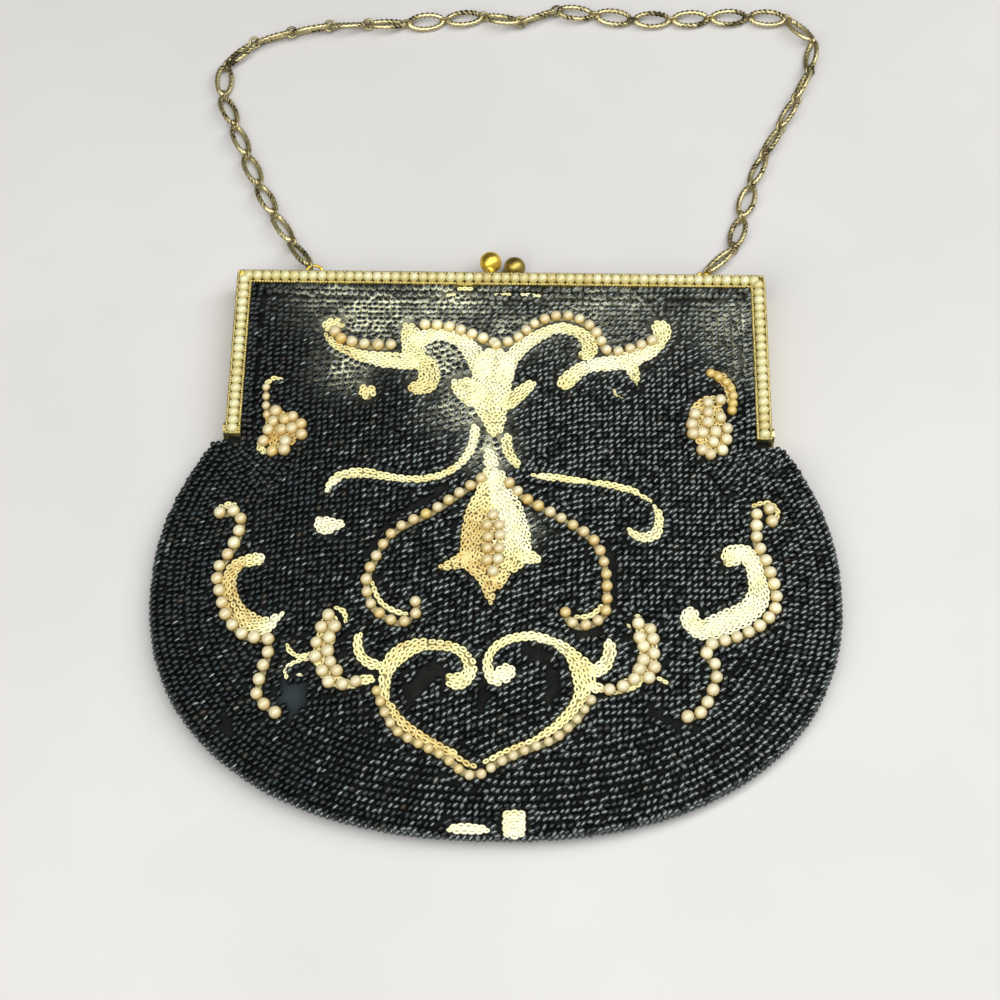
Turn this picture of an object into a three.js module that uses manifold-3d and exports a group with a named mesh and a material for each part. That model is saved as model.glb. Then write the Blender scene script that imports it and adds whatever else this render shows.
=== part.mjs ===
// Beaded evening purse lying on its back: a pouch of beaded cloth on a hinged gilt frame with a
// pearl trim, a two-ball snap clasp and a chain handle laid out above it. Millimetres, +Z up.
// While it is built, x = 0 is the purse's middle, y = 0 the frame's top edge, with +Y towards the
// handle, and z = 0 the surface that it lies on. The last lines move the origin to the middle of
// the whole object's underside.

import * as THREE from 'three';
import { mergeVertices } from 'three/addons/utils/BufferGeometryUtils.js';
import Module from 'manifold-3d';

// Frame: two U-shaped channel halves that meet on the plane z = MEET_Z
const FRAME_WIDTH = 156.4;
const ARM_LENGTH = 57;
const FRAME_FACE = 4.4;
const CORNER_LEFT = 1.4;
const CORNER_RIGHT = 2.6;
const MEET_Z = 5;
const MEET_GAP = 0.3;
const LIP = 0.9;
const SLOT = 2.4;
const OUTER_WALL = 1;
const FRONT_PLATE = 1.9;
const SHARPEST_CORNER = 0.2;
const CORNER_STEPS = 4;
const CUT_PAST = 1;

// Trough for the pearls in the front half's face
const TROUGH_EDGE = 0.7;
const TROUGH_DEPTH = 1.2;
const PEARL_DIAMETER = 2.5;
const PEARL_SIDES = 8;
const PEARL_STEPS_ON_TOP = 20;
const PEARL_STEPS_ON_ARM = 7;
const SEAT_GAP = 0.15;

// Pouch: its outline below the frame, and its walls of beaded cloth
const POUCH_WIDTH = 190;
const POUCH_BOTTOM = 177.5;
const WIDEST_BELOW_TOP = 104;
const LOWER_ROUNDNESS = 2.25;
const SHOULDER_INSET = 13.4;
const SHOULDER_POWER = 2.2;
const SHOULDER_TOP = 59;
const CLOTH = 1.8;
const CLOTH_GAP = 0.4;
const RIM_BAND = 6.5;
const POUCH_CENTRE_Y = -96;
const FRONT_RISE = 10.5;
const FRONT_FULLNESS = 2.6;
const BACK_FLAT = 0.74;
const SEAM_BLEND = 22;
const POUCH_STATIONS = [1, 0.9, 0.72, 0.42];
const CROWN_RADIUS = 84;
const CROWN_REACH = 0.4;
const POINTS_ON_TOP = 6;
const POINTS_ON_ARM = 5;
const POINTS_ON_SHOULDER = 4;
const POINTS_ON_LOWER = 9;

// Clasp knobs
const BALL_DIAMETER = 6.5;
const FRONT_KNOB = { x: -3.25, ballY: 5.2 };
const BACK_KNOB = { x: 3.9, ballY: 6.6 };
const COLLAR_RADIUS = 1.9;
const COLLAR_HEIGHT = 0.6;
const STEM_RADIUS = 1.15;
const KNOB_SIDES = 12;
const BALL_STEPS = 6;

// Hinge plates on the outer sides of the arms' ends
const HINGE_LENGTH = 8;
const HINGE_WIDTH = 4;
const HINGE_THICKNESS = 0.6;
const HINGE_ABOVE_END = 3.4;
const RIVET_RADIUS = 1.2;
const RIVET_HEIGHT = 0.5;
const RIVET_SIDES = 10;
const RIVET_ROOT = 0.1;

// Loops on the frame and the jump rings in them
const LOOP_WIRE = 0.9;
const LOOP_RADIUS = 1.25;
const LOOP_REACH = 0.9;
const LOOP_ROOT = 0.6;
const LOOP_SIDES = 6;
const LOOP_BEND_STEPS = 6;
const JUMP_RADIUS = 2.6;
const JUMP_WIRE = 0.9;
const JUMP_SIDES = 14;
const JUMP_SEAT_Y = 0.95;

// Chain: long pointed-oval links with a small round ring between each two
const LINK_COUNT = 31;
const LINK_WIRE = 1.05;
const LINK_WIDTH = 5.6;
const RING_DIAMETER = 4.05;
const RING_WIRE = 0.85;
const CHAIN_SIDES = 10;
const WIRE_SIDES = 5;
const SOLDER_DEPTH = 0.06;
const END_CLEARANCE = 0.35;
const CHAIN_Z = 2.1;
const WALK_SAMPLES = 16000;
const PITCH_ROUNDS = 24;
const MOST_SLACK = 1.2;

// Each chain end: where its loop sits on the frame, the jump ring's tilt above level, and the way
// that the chain pulls it, as an angle from +Y towards +X
const CHAIN_ENDS = {
  left: { loopX: -56, tiltDeg: 30, pullDeg: -32 },
  right: { loopX: 60.5, tiltDeg: -3, pullDeg: 24 },
};

// The chain's way over the surface between its ends
const CHAIN_ROUTE = [
  { x: -61.6, y: 12.2 },
  { x: -72.7, y: 32.6 },
  { x: -82.5, y: 57 },
  { x: -89.3, y: 77.5 },
  { x: -85.5, y: 89 },
  { x: -62.9, y: 99 },
  { x: -28.1, y: 102.6 },
  { x: -3.5, y: 105.6 },
  { x: 8.2, y: 102.4 },
  { x: 17, y: 107.8 },
  { x: 40.7, y: 104.8 },
  { x: 78.5, y: 106.4 },
  { x: 91.5, y: 105 },
  { x: 98.2, y: 95 },
  { x: 91.1, y: 72 },
  { x: 79.5, y: 48.2 },
  { x: 72.5, y: 25.7 },
  { x: 68.9, y: 12.8 },
];

// Each link's roll about the chain's way, from the left end
const LINK_ROLLS_DEG = [
  41, 36, 27, 23, 30, 27, 20, -32, -60, -60, -45, -27, 25, 5, -25, -60,
  0, 15, 15, 15, 15, 15, -25, 50, 62, 46, 50, 42, 15, 25, 42,
];

const frontZ = MEET_Z + MEET_GAP / 2;
const backZ = MEET_Z - MEET_GAP / 2;
const faceZ = frontZ + LIP + SLOT + FRONT_PLATE;
const frontHalfZ = (frontZ + faceZ) / 2;
const backHalfZ = backZ / 2;
const troughFloorZ = faceZ - TROUGH_DEPTH;
const slotFrontZ = frontZ + LIP;
const slotBackZ = backZ - LIP;

const gilt = new THREE.MeshStandardMaterial({ color: 0xb08d3e, roughness: 0.35, metalness: 1 });
const brightGilt = new THREE.MeshStandardMaterial({ color: 0xd0a040, roughness: 0.2, metalness: 1 });
const darkBrass = new THREE.MeshStandardMaterial({ color: 0x5c5138, roughness: 0.5, metalness: 1 });
const pearl = new THREE.MeshStandardMaterial({ color: 0xe2cfae, roughness: 0.3, metalness: 0 });
const beadedCloth = new THREE.MeshStandardMaterial({ color: 0x0b0b0d, roughness: 0.3, metalness: 0 });

const wasm = await Module();
wasm.setup();

function toSolid(geometry) {
  const bare = geometry.clone();
  bare.deleteAttribute('normal');
  bare.deleteAttribute('uv');
  const merged = mergeVertices(bare);
  return new wasm.Manifold(new wasm.Mesh({
    numProp: 3,
    vertProperties: new Float32Array(merged.attributes.position.array),
    triVerts: new Uint32Array(merged.index.array),
  }));
}

function toGeometry(solid) {
  const mesh = solid.getMesh();
  const geometry = new THREE.BufferGeometry();
  geometry.setAttribute('position', new THREE.BufferAttribute(mesh.vertProperties, mesh.numProp));
  geometry.setIndex(new THREE.BufferAttribute(mesh.triVerts, 1));
  geometry.computeVertexNormals();
  return geometry;
}

function fuse(geometries) {
  const [first, ...rest] = geometries.map(toSolid);
  return rest.reduce((whole, piece) => whole.add(piece), first);
}

function named(name, geometry, material) {
  const mesh = new THREE.Mesh(geometry, material);
  mesh.name = name;
  return mesh;
}

// A flat U that opens downwards: outside and inside are the insets of its two edges from the
// frame's outer edge, and foot is the y of its ends
function uShape(outside, inside, foot) {
  const outer = FRAME_WIDTH / 2 - outside;
  const inner = FRAME_WIDTH / 2 - inside;
  const leftRadius = Math.max(CORNER_LEFT - outside, SHARPEST_CORNER);
  const rightRadius = Math.max(CORNER_RIGHT - outside, SHARPEST_CORNER);
  const shape = new THREE.Shape();
  shape.moveTo(-outer, foot);
  shape.lineTo(-inner, foot);
  shape.lineTo(-inner, -inside);
  shape.lineTo(inner, -inside);
  shape.lineTo(inner, foot);
  shape.lineTo(outer, foot);
  shape.lineTo(outer, -outside - rightRadius);
  shape.absarc(outer - rightRadius, -outside - rightRadius, rightRadius, 0, Math.PI / 2, false);
  shape.lineTo(-outer + leftRadius, -outside);
  shape.absarc(-outer + leftRadius, -outside - leftRadius, leftRadius, Math.PI / 2, Math.PI, false);
  return shape;
}

function uBar(outside, inside, foot, lowZ, highZ) {
  const bar = new THREE.ExtrudeGeometry(uShape(outside, inside, foot), {
    depth: highZ - lowZ,
    bevelEnabled: false,
    curveSegments: CORNER_STEPS,
  });
  return bar.translate(0, 0, lowZ);
}

// The cloth's slot runs out of the inner edge and of the arms' ends
function clothSlot(lowZ) {
  return toSolid(uBar(OUTER_WALL, FRAME_FACE + CUT_PAST, -ARM_LENGTH - CUT_PAST, lowZ, lowZ + SLOT));
}

function frameFront() {
  const troughInside = FRAME_FACE - TROUGH_EDGE;
  const troughFoot = TROUGH_EDGE - ARM_LENGTH;
  const trough = toSolid(uBar(TROUGH_EDGE, troughInside, troughFoot, troughFloorZ, faceZ + CUT_PAST));
  const bar = toSolid(uBar(0, FRAME_FACE, -ARM_LENGTH, frontZ, faceZ));
  return toGeometry(bar.subtract(clothSlot(slotFrontZ)).subtract(trough));
}

function circle(radius, sides) {
  const corners = [];
  for (let i = 0; i < sides; i += 1) {
    const turn = (2 * Math.PI * i) / sides;
    corners.push(new THREE.Vector2(radius * Math.cos(turn), radius * Math.sin(turn)));
  }
  return new THREE.Shape(corners);
}

function polyline(points) {
  const path = new THREE.CurvePath();
  for (let i = 1; i < points.length; i += 1) {
    path.add(new THREE.LineCurve3(points[i - 1], points[i]));
  }
  return path;
}

// A soldered wire loop that stands out of the frame's top edge in a plane across the frame
function chainLoop(x) {
  const points = [new THREE.Vector3(x, -LOOP_ROOT, backHalfZ - LOOP_RADIUS)];
  for (let i = 0; i <= LOOP_BEND_STEPS; i += 1) {
    const turn = -Math.PI / 2 + (Math.PI * i) / LOOP_BEND_STEPS;
    const y = LOOP_REACH + LOOP_RADIUS * Math.cos(turn);
    points.push(new THREE.Vector3(x, y, backHalfZ + LOOP_RADIUS * Math.sin(turn)));
  }
  points.push(new THREE.Vector3(x, -LOOP_ROOT, backHalfZ + LOOP_RADIUS));
  return new THREE.ExtrudeGeometry(circle(LOOP_WIRE / 2, LOOP_SIDES), {
    extrudePath: polyline(points),
    steps: 2 * LOOP_BEND_STEPS,
  });
}

function frameBack() {
  const bar = toSolid(uBar(0, FRAME_FACE, -ARM_LENGTH, 0, backZ));
  let frame = bar.subtract(clothSlot(slotBackZ - SLOT));
  for (const end of Object.values(CHAIN_ENDS)) {
    frame = frame.add(toSolid(chainLoop(end.loopX)));
  }
  return toGeometry(frame);
}

// The string of pearls lies along the middle of the trough as one bent tube, whose steps are even
// so that one falls on each corner
function framePearls() {
  const inset = FRAME_FACE / 2;
  const side = FRAME_WIDTH / 2 - inset;
  const step = (2 * side) / PEARL_STEPS_ON_TOP;
  const foot = -inset - PEARL_STEPS_ON_ARM * step;
  const z = troughFloorZ + SEAT_GAP + PEARL_DIAMETER / 2;
  const corners = [[-side, foot], [-side, -inset], [side, -inset], [side, foot]];
  const points = corners.map(([x, y]) => new THREE.Vector3(x, y, z));
  return new THREE.ExtrudeGeometry(circle(PEARL_DIAMETER / 2, PEARL_SIDES), {
    extrudePath: polyline(points),
    steps: PEARL_STEPS_ON_TOP + 2 * PEARL_STEPS_ON_ARM,
  });
}

// Right half of the pouch's outline from the middle of the top to the middle of the bottom. The
// top and sides lie in the frame's slots, and below the arms the pouch widens to its full width
function halfOutline() {
  const inset = OUTER_WALL + CLOTH_GAP;
  const side = FRAME_WIDTH / 2 - inset;
  const foot = -ARM_LENGTH - CLOTH_GAP;
  const half = POUCH_WIDTH / 2;
  const cornerCut = CORNER_RIGHT / 2;
  const points = [];
  for (let i = 0; i < POINTS_ON_TOP; i += 1) {
    points.push({ x: (i / (POINTS_ON_TOP - 1)) * (side - cornerCut), y: -inset });
  }
  for (let i = 0; i < POINTS_ON_ARM; i += 1) {
    const along = i / (POINTS_ON_ARM - 1);
    points.push({ x: side, y: THREE.MathUtils.lerp(-inset - cornerCut, foot, along) });
  }
  for (let i = 0; i < POINTS_ON_SHOULDER; i += 1) {
    const rise = 1 - i / POINTS_ON_SHOULDER;
    const y = -WIDEST_BELOW_TOP + rise * (WIDEST_BELOW_TOP - SHOULDER_TOP);
    points.push({ x: half - SHOULDER_INSET * rise ** SHOULDER_POWER, y });
  }
  for (let i = 0; i <= POINTS_ON_LOWER; i += 1) {
    const turn = ((Math.PI / 2) * i) / POINTS_ON_LOWER;
    points.push({
      x: half * Math.cos(turn) ** (2 / LOWER_ROUNDNESS),
      y: -WIDEST_BELOW_TOP - (POUCH_BOTTOM - WIDEST_BELOW_TOP) * Math.sin(turn) ** (2 / LOWER_ROUNDNESS),
    });
  }
  return points;
}

function pouchOutline() {
  const right = halfOutline();
  const left = right.slice(1, -1).reverse().map(({ x, y }) => ({ x: -x, y }));
  return [...right, ...left];
}

// How far a rim point still lies in the frame: 1 in the slots, falling to 0 along the seam below
function inFrame(y) {
  return THREE.MathUtils.smoothstep(y, -ARM_LENGTH - SEAM_BLEND, -ARM_LENGTH);
}

// A level line's reach along one ray: the outline's own at the rim, rounding to a circle inside
function levelLine(rimReach, station) {
  const rounding = THREE.MathUtils.smoothstep(1 - station, 0, CROWN_REACH);
  return station * THREE.MathUtils.lerp(rimReach, CROWN_RADIUS, rounding);
}

// A wall between two surfaces over the pouch's outline. bottomAt and topAt give the heights for
// a rim point and a station, from 1 at the inside of the rim's band to 0 at the centre
function wall(bottomAt, topAt) {
  const rim = pouchOutline();
  const rings = [null, ...POUCH_STATIONS];
  const positions = [];
  for (const heightAt of [topAt, bottomAt]) {
    for (const station of rings) {
      for (const { x, y } of rim) {
        const reach = Math.hypot(x, y - POUCH_CENTRE_Y);
        const share = station === null ? 1 : levelLine(reach - RIM_BAND, station) / reach;
        const height = heightAt(y, station ?? 1);
        positions.push(x * share, POUCH_CENTRE_Y + (y - POUCH_CENTRE_Y) * share, height);
      }
    }
    positions.push(0, POUCH_CENTRE_Y, heightAt(POUCH_CENTRE_Y, 0));
  }
  const count = rim.length;
  const layer = rings.length * count + 1;
  const faces = [];
  for (let i = 0; i < count; i += 1) {
    const next = (i + 1) % count;
    for (let ring = 0; ring + 1 < rings.length; ring += 1) {
      const [a, b] = [ring * count + i, ring * count + next];
      const [c, d] = [b + count, a + count];
      faces.push(a, d, c, a, c, b);
      faces.push(layer + a, layer + c, layer + d, layer + a, layer + b, layer + c);
    }
    const lastRing = (rings.length - 1) * count;
    faces.push(lastRing + i, layer - 1, lastRing + next);
    faces.push(layer + lastRing + i, layer + lastRing + next, 2 * layer - 1);
    faces.push(i, next, layer + next, i, layer + next, layer + i);
  }
  const geometry = new THREE.BufferGeometry();
  geometry.setAttribute('position', new THREE.Float32BufferAttribute(positions, 3));
  geometry.setIndex(faces);
  geometry.computeVertexNormals();
  return geometry;
}

function frontPanel() {
  const inSlotZ = slotFrontZ + (SLOT - CLOTH) / 2;
  const bottomAt = (y, station) => {
    const rimZ = THREE.MathUtils.lerp(frontZ, inSlotZ, inFrame(y));
    const crown = inSlotZ + FRONT_RISE;
    const fullness = 1 - station ** FRONT_FULLNESS;
    return THREE.MathUtils.lerp(rimZ, crown, fullness);
  };
  return wall(bottomAt, (y, station) => bottomAt(y, station) + CLOTH);
}

// The back panel is pressed flat against the surface inside BACK_FLAT of its reach
function backPanel() {
  const inSlotZ = slotBackZ - SLOT + (SLOT - CLOTH) / 2;
  const bottomAt = (y, station) => {
    const rimZ = THREE.MathUtils.lerp(backZ - CLOTH, inSlotZ, inFrame(y));
    return rimZ * THREE.MathUtils.smoothstep(station, BACK_FLAT, 1);
  };
  return wall(bottomAt, (y, station) => bottomAt(y, station) + CLOTH);
}

// A clasp knob turned about +Y: a collar, a waisted stem and a ball
function claspBall({ x, ballY }, z) {
  const radius = BALL_DIAMETER / 2;
  const profile = [
    new THREE.Vector2(0, 0),
    new THREE.Vector2(COLLAR_RADIUS, 0),
    new THREE.Vector2(COLLAR_RADIUS, COLLAR_HEIGHT),
    new THREE.Vector2(STEM_RADIUS, 2 * COLLAR_HEIGHT),
  ];
  const startTurn = Math.asin(STEM_RADIUS / radius);
  for (let i = 0; i <= BALL_STEPS; i += 1) {
    const turn = THREE.MathUtils.lerp(startTurn, Math.PI, i / BALL_STEPS);
    const across = i === BALL_STEPS ? 0 : radius * Math.sin(turn);
    profile.push(new THREE.Vector2(across, ballY - radius * Math.cos(turn)));
  }
  return new THREE.LatheGeometry(profile, KNOB_SIDES).translate(x, SEAT_GAP, z);
}

// A hinge plate stands across both halves on the outer side of an arm, with a rivet at its middle
function hingePlate(side) {
  const half = (HINGE_LENGTH - HINGE_WIDTH) / 2;
  const shape = new THREE.Shape();
  shape.absarc(half, 0, HINGE_WIDTH / 2, -Math.PI / 2, Math.PI / 2, false);
  shape.absarc(-half, 0, HINGE_WIDTH / 2, Math.PI / 2, (3 * Math.PI) / 2, false);
  const plate = new THREE.ExtrudeGeometry(shape, {
    depth: HINGE_THICKNESS,
    bevelEnabled: false,
    curveSegments: CORNER_STEPS,
  });
  const rivet = new THREE.CylinderGeometry(RIVET_RADIUS / 2, RIVET_RADIUS, RIVET_HEIGHT, RIVET_SIDES);
  rivet.rotateX(Math.PI / 2).translate(0, 0, HINGE_THICKNESS + RIVET_HEIGHT / 2 - RIVET_ROOT);
  const hinge = toGeometry(fuse([plate, rivet]));
  hinge.rotateY(Math.PI / 2).translate(SEAT_GAP, 0, 0);
  if (side < 0) {
    hinge.rotateY(Math.PI);
  }
  return hinge.translate((side * FRAME_WIDTH) / 2, HINGE_ABOVE_END - ARM_LENGTH, faceZ / 2);
}

// The jump ring's own axes: across the frame, out of the loop, and its normal
function jumpRingFrame({ loopX, tiltDeg, pullDeg }) {
  const tilt = THREE.MathUtils.degToRad(tiltDeg);
  const pull = THREE.MathUtils.degToRad(pullDeg);
  const across = new THREE.Vector3(1, 0, 0);
  const out = new THREE.Vector3(0, Math.cos(tilt), Math.sin(tilt));
  const normal = new THREE.Vector3().crossVectors(across, out);
  const centre = new THREE.Vector3(loopX, JUMP_SEAT_Y, backHalfZ).addScaledVector(out, JUMP_RADIUS);
  const pullWay = across.clone().multiplyScalar(Math.sin(pull)).addScaledVector(out, Math.cos(pull));
  return { across, out, normal, centre, pullWay };
}

function jumpRing(end) {
  const { across, out, normal, centre } = jumpRingFrame(end);
  const ring = new THREE.TorusGeometry(JUMP_RADIUS, JUMP_WIRE / 2, LOOP_SIDES, JUMP_SIDES);
  return ring.applyMatrix4(new THREE.Matrix4().makeBasis(across, out, normal).setPosition(centre));
}

// Middle of the chain's first or last ring, hooked in its jump ring with a little play
function chainEnd(end) {
  const { centre, pullWay } = jumpRingFrame(end);
  const ringRadius = (RING_DIAMETER - RING_WIRE) / 2;
  const play = (JUMP_WIRE + RING_WIRE) / 2 + END_CLEARANCE;
  return centre.clone().addScaledVector(pullWay, JUMP_RADIUS + ringRadius - play);
}

// Points along a curve, each a straight pitch from the one before
function walk(curve, pitch, count) {
  const samples = curve.getSpacedPoints(WALK_SAMPLES);
  for (const sample of samples) {
    sample.z = Math.max(sample.z, CHAIN_Z);
  }
  const stops = [samples[0]];
  for (let i = 1; i < samples.length && stops.length <= count; i += 1) {
    if (samples[i].distanceTo(stops.at(-1)) >= pitch) {
      stops.push(samples[i]);
    }
  }
  return stops;
}

// The pitch at which the last of the chain's rings comes to the end of its way
function fitPitch(curve) {
  let high = curve.getLength() / LINK_COUNT;
  let low = high / MOST_SLACK;
  for (let i = 0; i < PITCH_ROUNDS; i += 1) {
    const middle = (low + high) / 2;
    if (walk(curve, middle, LINK_COUNT).length > LINK_COUNT) {
      low = middle;
    } else {
      high = middle;
    }
  }
  return low;
}

// Axes of a link or ring: along the chain, across its own plane, and its normal
function linkBasis(along, rollDeg) {
  const flat = new THREE.Vector3(0, 0, 1).cross(along).normalize();
  const across = flat.applyAxisAngle(along, THREE.MathUtils.degToRad(rollDeg));
  const normal = new THREE.Vector3().crossVectors(along, across);
  return new THREE.Matrix4().makeBasis(along, across, normal);
}

// A ring of wire. The tube's radius is negative so that a corner of the wire's section, and not a
// flat, faces the ring's hole
function wireRing(outerWidth, wire) {
  return new THREE.TorusGeometry((outerWidth - wire) / 2, -wire / 2, WIRE_SIDES, CHAIN_SIDES);
}

// A long link is a ring drawn to an oval along x, until its ends touch the round rings
function longLink(pitch) {
  const ringHole = RING_DIAMETER / 2 - RING_WIRE;
  const halfLength = pitch / 2 - ringHole - SOLDER_DEPTH + LINK_WIRE / 2;
  const halfWidth = (LINK_WIDTH - LINK_WIRE) / 2;
  const link = wireRing(LINK_WIDTH, LINK_WIRE);
  const place = link.attributes.position;
  for (let i = 0; i < place.count; i += 1) {
    const way = new THREE.Vector2(place.getX(i), place.getY(i));
    const fromWire = way.length() - halfWidth;
    way.normalize();
    const out = new THREE.Vector2(way.x * halfWidth, way.y * halfLength).normalize();
    place.setX(i, way.x * halfLength + out.x * fromWire);
    place.setY(i, way.y * halfWidth + out.y * fromWire);
  }
  return link;
}

// How high the middle of a rolled ring or link is when its lower side rests on the surface
function restHeight(outerWidth, wire, rollDeg) {
  const rise = Math.abs(Math.sin(THREE.MathUtils.degToRad(rollDeg)));
  return ((outerWidth - wire) / 2) * rise + wire / 2;
}

function chain() {
  const start = chainEnd(CHAIN_ENDS.left);
  const finish = chainEnd(CHAIN_ENDS.right);
  const between = CHAIN_ROUTE.map(({ x, y }) => new THREE.Vector3(x, y, CHAIN_Z));
  const curve = new THREE.CatmullRomCurve3([start, ...between, finish], false, 'centripetal');
  const pitch = fitPitch(curve);
  const stops = walk(curve, pitch, LINK_COUNT);
  const rolls = [0, ...LINK_ROLLS_DEG, 0];
  const ringRolls = stops.map((stop, i) => (rolls[i] + rolls[i + 1]) / 2 + 90);
  stops.forEach((stop, i) => {
    const linkBefore = restHeight(LINK_WIDTH, LINK_WIRE, rolls[i]);
    const linkAfter = restHeight(LINK_WIDTH, LINK_WIRE, rolls[i + 1]);
    const ring = restHeight(RING_DIAMETER, RING_WIRE, ringRolls[i]);
    stop.setZ(Math.max(stop.z, linkBefore, linkAfter, ring));
  });
  const link = longLink(pitch);
  const ring = wireRing(RING_DIAMETER, RING_WIRE);
  const pieces = [];
  stops.forEach((stop, i) => {
    const before = stops[Math.max(i - 1, 0)];
    const after = stops[Math.min(i + 1, stops.length - 1)];
    const along = after.clone().sub(before).normalize();
    pieces.push(ring.clone().applyMatrix4(linkBasis(along, ringRolls[i]).setPosition(stop)));
    if (i + 1 < stops.length) {
      const way = after.clone().sub(stop).normalize();
      const middle = stop.clone().lerp(after, 0.5);
      pieces.push(link.clone().applyMatrix4(linkBasis(way, rolls[i + 1]).setPosition(middle)));
    }
  });
  return toGeometry(fuse(pieces));
}

const purse = new THREE.Group();
purse.add(
  named('front_panel', frontPanel(), beadedCloth),
  named('back_panel', backPanel(), beadedCloth),
  named('frame_front', frameFront(), gilt),
  named('frame_back', frameBack(), gilt),
  named('frame_pearls', framePearls(), pearl),
  named('clasp_ball_front', claspBall(FRONT_KNOB, frontHalfZ), brightGilt),
  named('clasp_ball_back', claspBall(BACK_KNOB, BALL_DIAMETER / 2), brightGilt),
  named('hinge_left', hingePlate(-1), gilt),
  named('hinge_right', hingePlate(1), gilt),
  named('chain_end_left', jumpRing(CHAIN_ENDS.left), brightGilt),
  named('chain_end_right', jumpRing(CHAIN_ENDS.right), brightGilt),
  named('chain', chain(), darkBrass),
);

const bounds = new THREE.Box3().setFromObject(purse, true);
const middle = bounds.getCenter(new THREE.Vector3());
purse.position.set(-middle.x, -middle.y, -bounds.min.z);
purse.updateMatrixWorld(true);

export default purse;
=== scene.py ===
"""Looks of a beaded frame purse that lies on its back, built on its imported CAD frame.

Sizes are in millimetres of the purse: x from its middle, y from the top edge of its frame, z from
the floor. Charts of the motif are in pixels of the photograph, 1000 by 1000, and are laid on the
beaded front through the camera.
"""
import math

import bpy
import numpy as np
from mathutils import Matrix, Vector


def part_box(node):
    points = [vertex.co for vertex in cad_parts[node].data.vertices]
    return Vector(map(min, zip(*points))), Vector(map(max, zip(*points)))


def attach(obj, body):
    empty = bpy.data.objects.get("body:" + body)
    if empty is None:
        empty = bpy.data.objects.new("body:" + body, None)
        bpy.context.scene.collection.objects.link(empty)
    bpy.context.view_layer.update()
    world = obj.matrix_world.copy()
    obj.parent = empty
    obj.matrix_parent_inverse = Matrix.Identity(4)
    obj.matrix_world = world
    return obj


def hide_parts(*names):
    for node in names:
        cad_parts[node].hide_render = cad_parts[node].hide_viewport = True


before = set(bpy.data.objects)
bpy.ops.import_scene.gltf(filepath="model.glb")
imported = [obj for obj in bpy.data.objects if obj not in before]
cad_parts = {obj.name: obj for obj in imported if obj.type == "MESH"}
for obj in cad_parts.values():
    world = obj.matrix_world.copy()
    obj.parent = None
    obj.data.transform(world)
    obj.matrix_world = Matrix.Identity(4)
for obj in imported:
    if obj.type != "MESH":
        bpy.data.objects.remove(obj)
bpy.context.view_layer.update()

MM = 0.001
FRAME_LOW, FRAME_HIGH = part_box("frame_front")
PURSE_ZERO = np.array([(FRAME_LOW.x + FRAME_HIGH.x) / 2, FRAME_HIGH.y, 0.0])

# Camera of the photograph
PHOTO_SIZE = 1000
FOCAL = 2500
SENSOR = 36
CAMERA_AZIMUTH = math.radians(0.974)
CAMERA_ELEVATION = math.radians(60)
CAMERA_ROLL = math.radians(-0.158)
CAMERA_DISTANCE = 708.73
CAMERA_TARGET = np.array([0.727, -74.896, 5.0])

# Frame: a U of gilt channel, two halves, pearls in the front half's trough
FRAME_HALF = 78.2
FRAME_FACE = 4.4
FRAME_FOOT = -57.0
FACE_Z = 10.35
TRIM_INSET = 2.2
TRIM_FOOT = -55.4
TRIM_Z = 10.55
TRIM_DIAMETER = 3.3
TRIM_LENGTH = 3.05
TRIM_PITCH = 2.72
MILLED_PITCH = 0.85
MILLED_DIAMETER = 0.62
MILLED_INSET = 0.38
MILLED_FOOT = FRAME_FOOT + 0.6
MILLED_FACETS = (6, 4)
TRIM_FACETS = (10, 6)
TRIM_UNEVEN = 0.02
TRIM_TONE_STRAY = 0.16
LINE_STEP = 0.05

# Pouch: its outline, the dome of its front and the flat of its back
RIM_HALF = 76.8
RIM_TOP = -1.4
RIM_FOOT = -57.4
POUCH_HALF = 95.0
POUCH_BOTTOM = -177.5
WIDEST_Y = -104.0
SHOULDER_TOP = -59.0
SHOULDER_INSET = 13.4
SHOULDER_POWER = 2.2
LOWER_ROUNDNESS = 2.25
POUCH_CENTRE = np.array([0.0, -96.0])
RIM_BAND = 6.5
CROWN_RADIUS = 84.0
CROWN_REACH = 0.4
SEAM_BLEND = 22.0
FRONT_SEAM_Z = 6.95
FRONT_HELD_Z = 8.15
CROWN_Z = 18.65
FRONT_FULLNESS = 2.6
BACK_SEAM_Z = 3.05
BACK_HELD_Z = 1.85
BACK_FLAT = 0.74
FRONT_BEAD_ROOM = 1.25
BACK_BEAD_ROOM = 1.5
FRONT_ROLL = 0.65
BACK_ROLL = 0.45
CLOTH_THICK = 0.5
CLOTH_RINGS = np.concatenate([np.linspace(0.03, 1, 40), np.linspace(1.15, 2, 6)])
CLOTH_RAYS = 300
RIM_STEPS = 240
RIM_STEP = 0.5
SLOPE_REACH = 0.15
HALVINGS = 24
RAY_STEPS = 14

# Seed beads: discs of glass strung along their rows
BEAD_DIAMETER = 2.2
BEAD_LENGTH = 1.85
BEAD_PITCH = 1.74
ROW_PITCH = 1.94
BEAD_SEAT = 0.72
BEAD_STRAY = 0.15
BACK_SEAT = 0.1
CLOSEST_BEADS = 1.5
CLOSEST_FILL = 1.36
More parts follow.
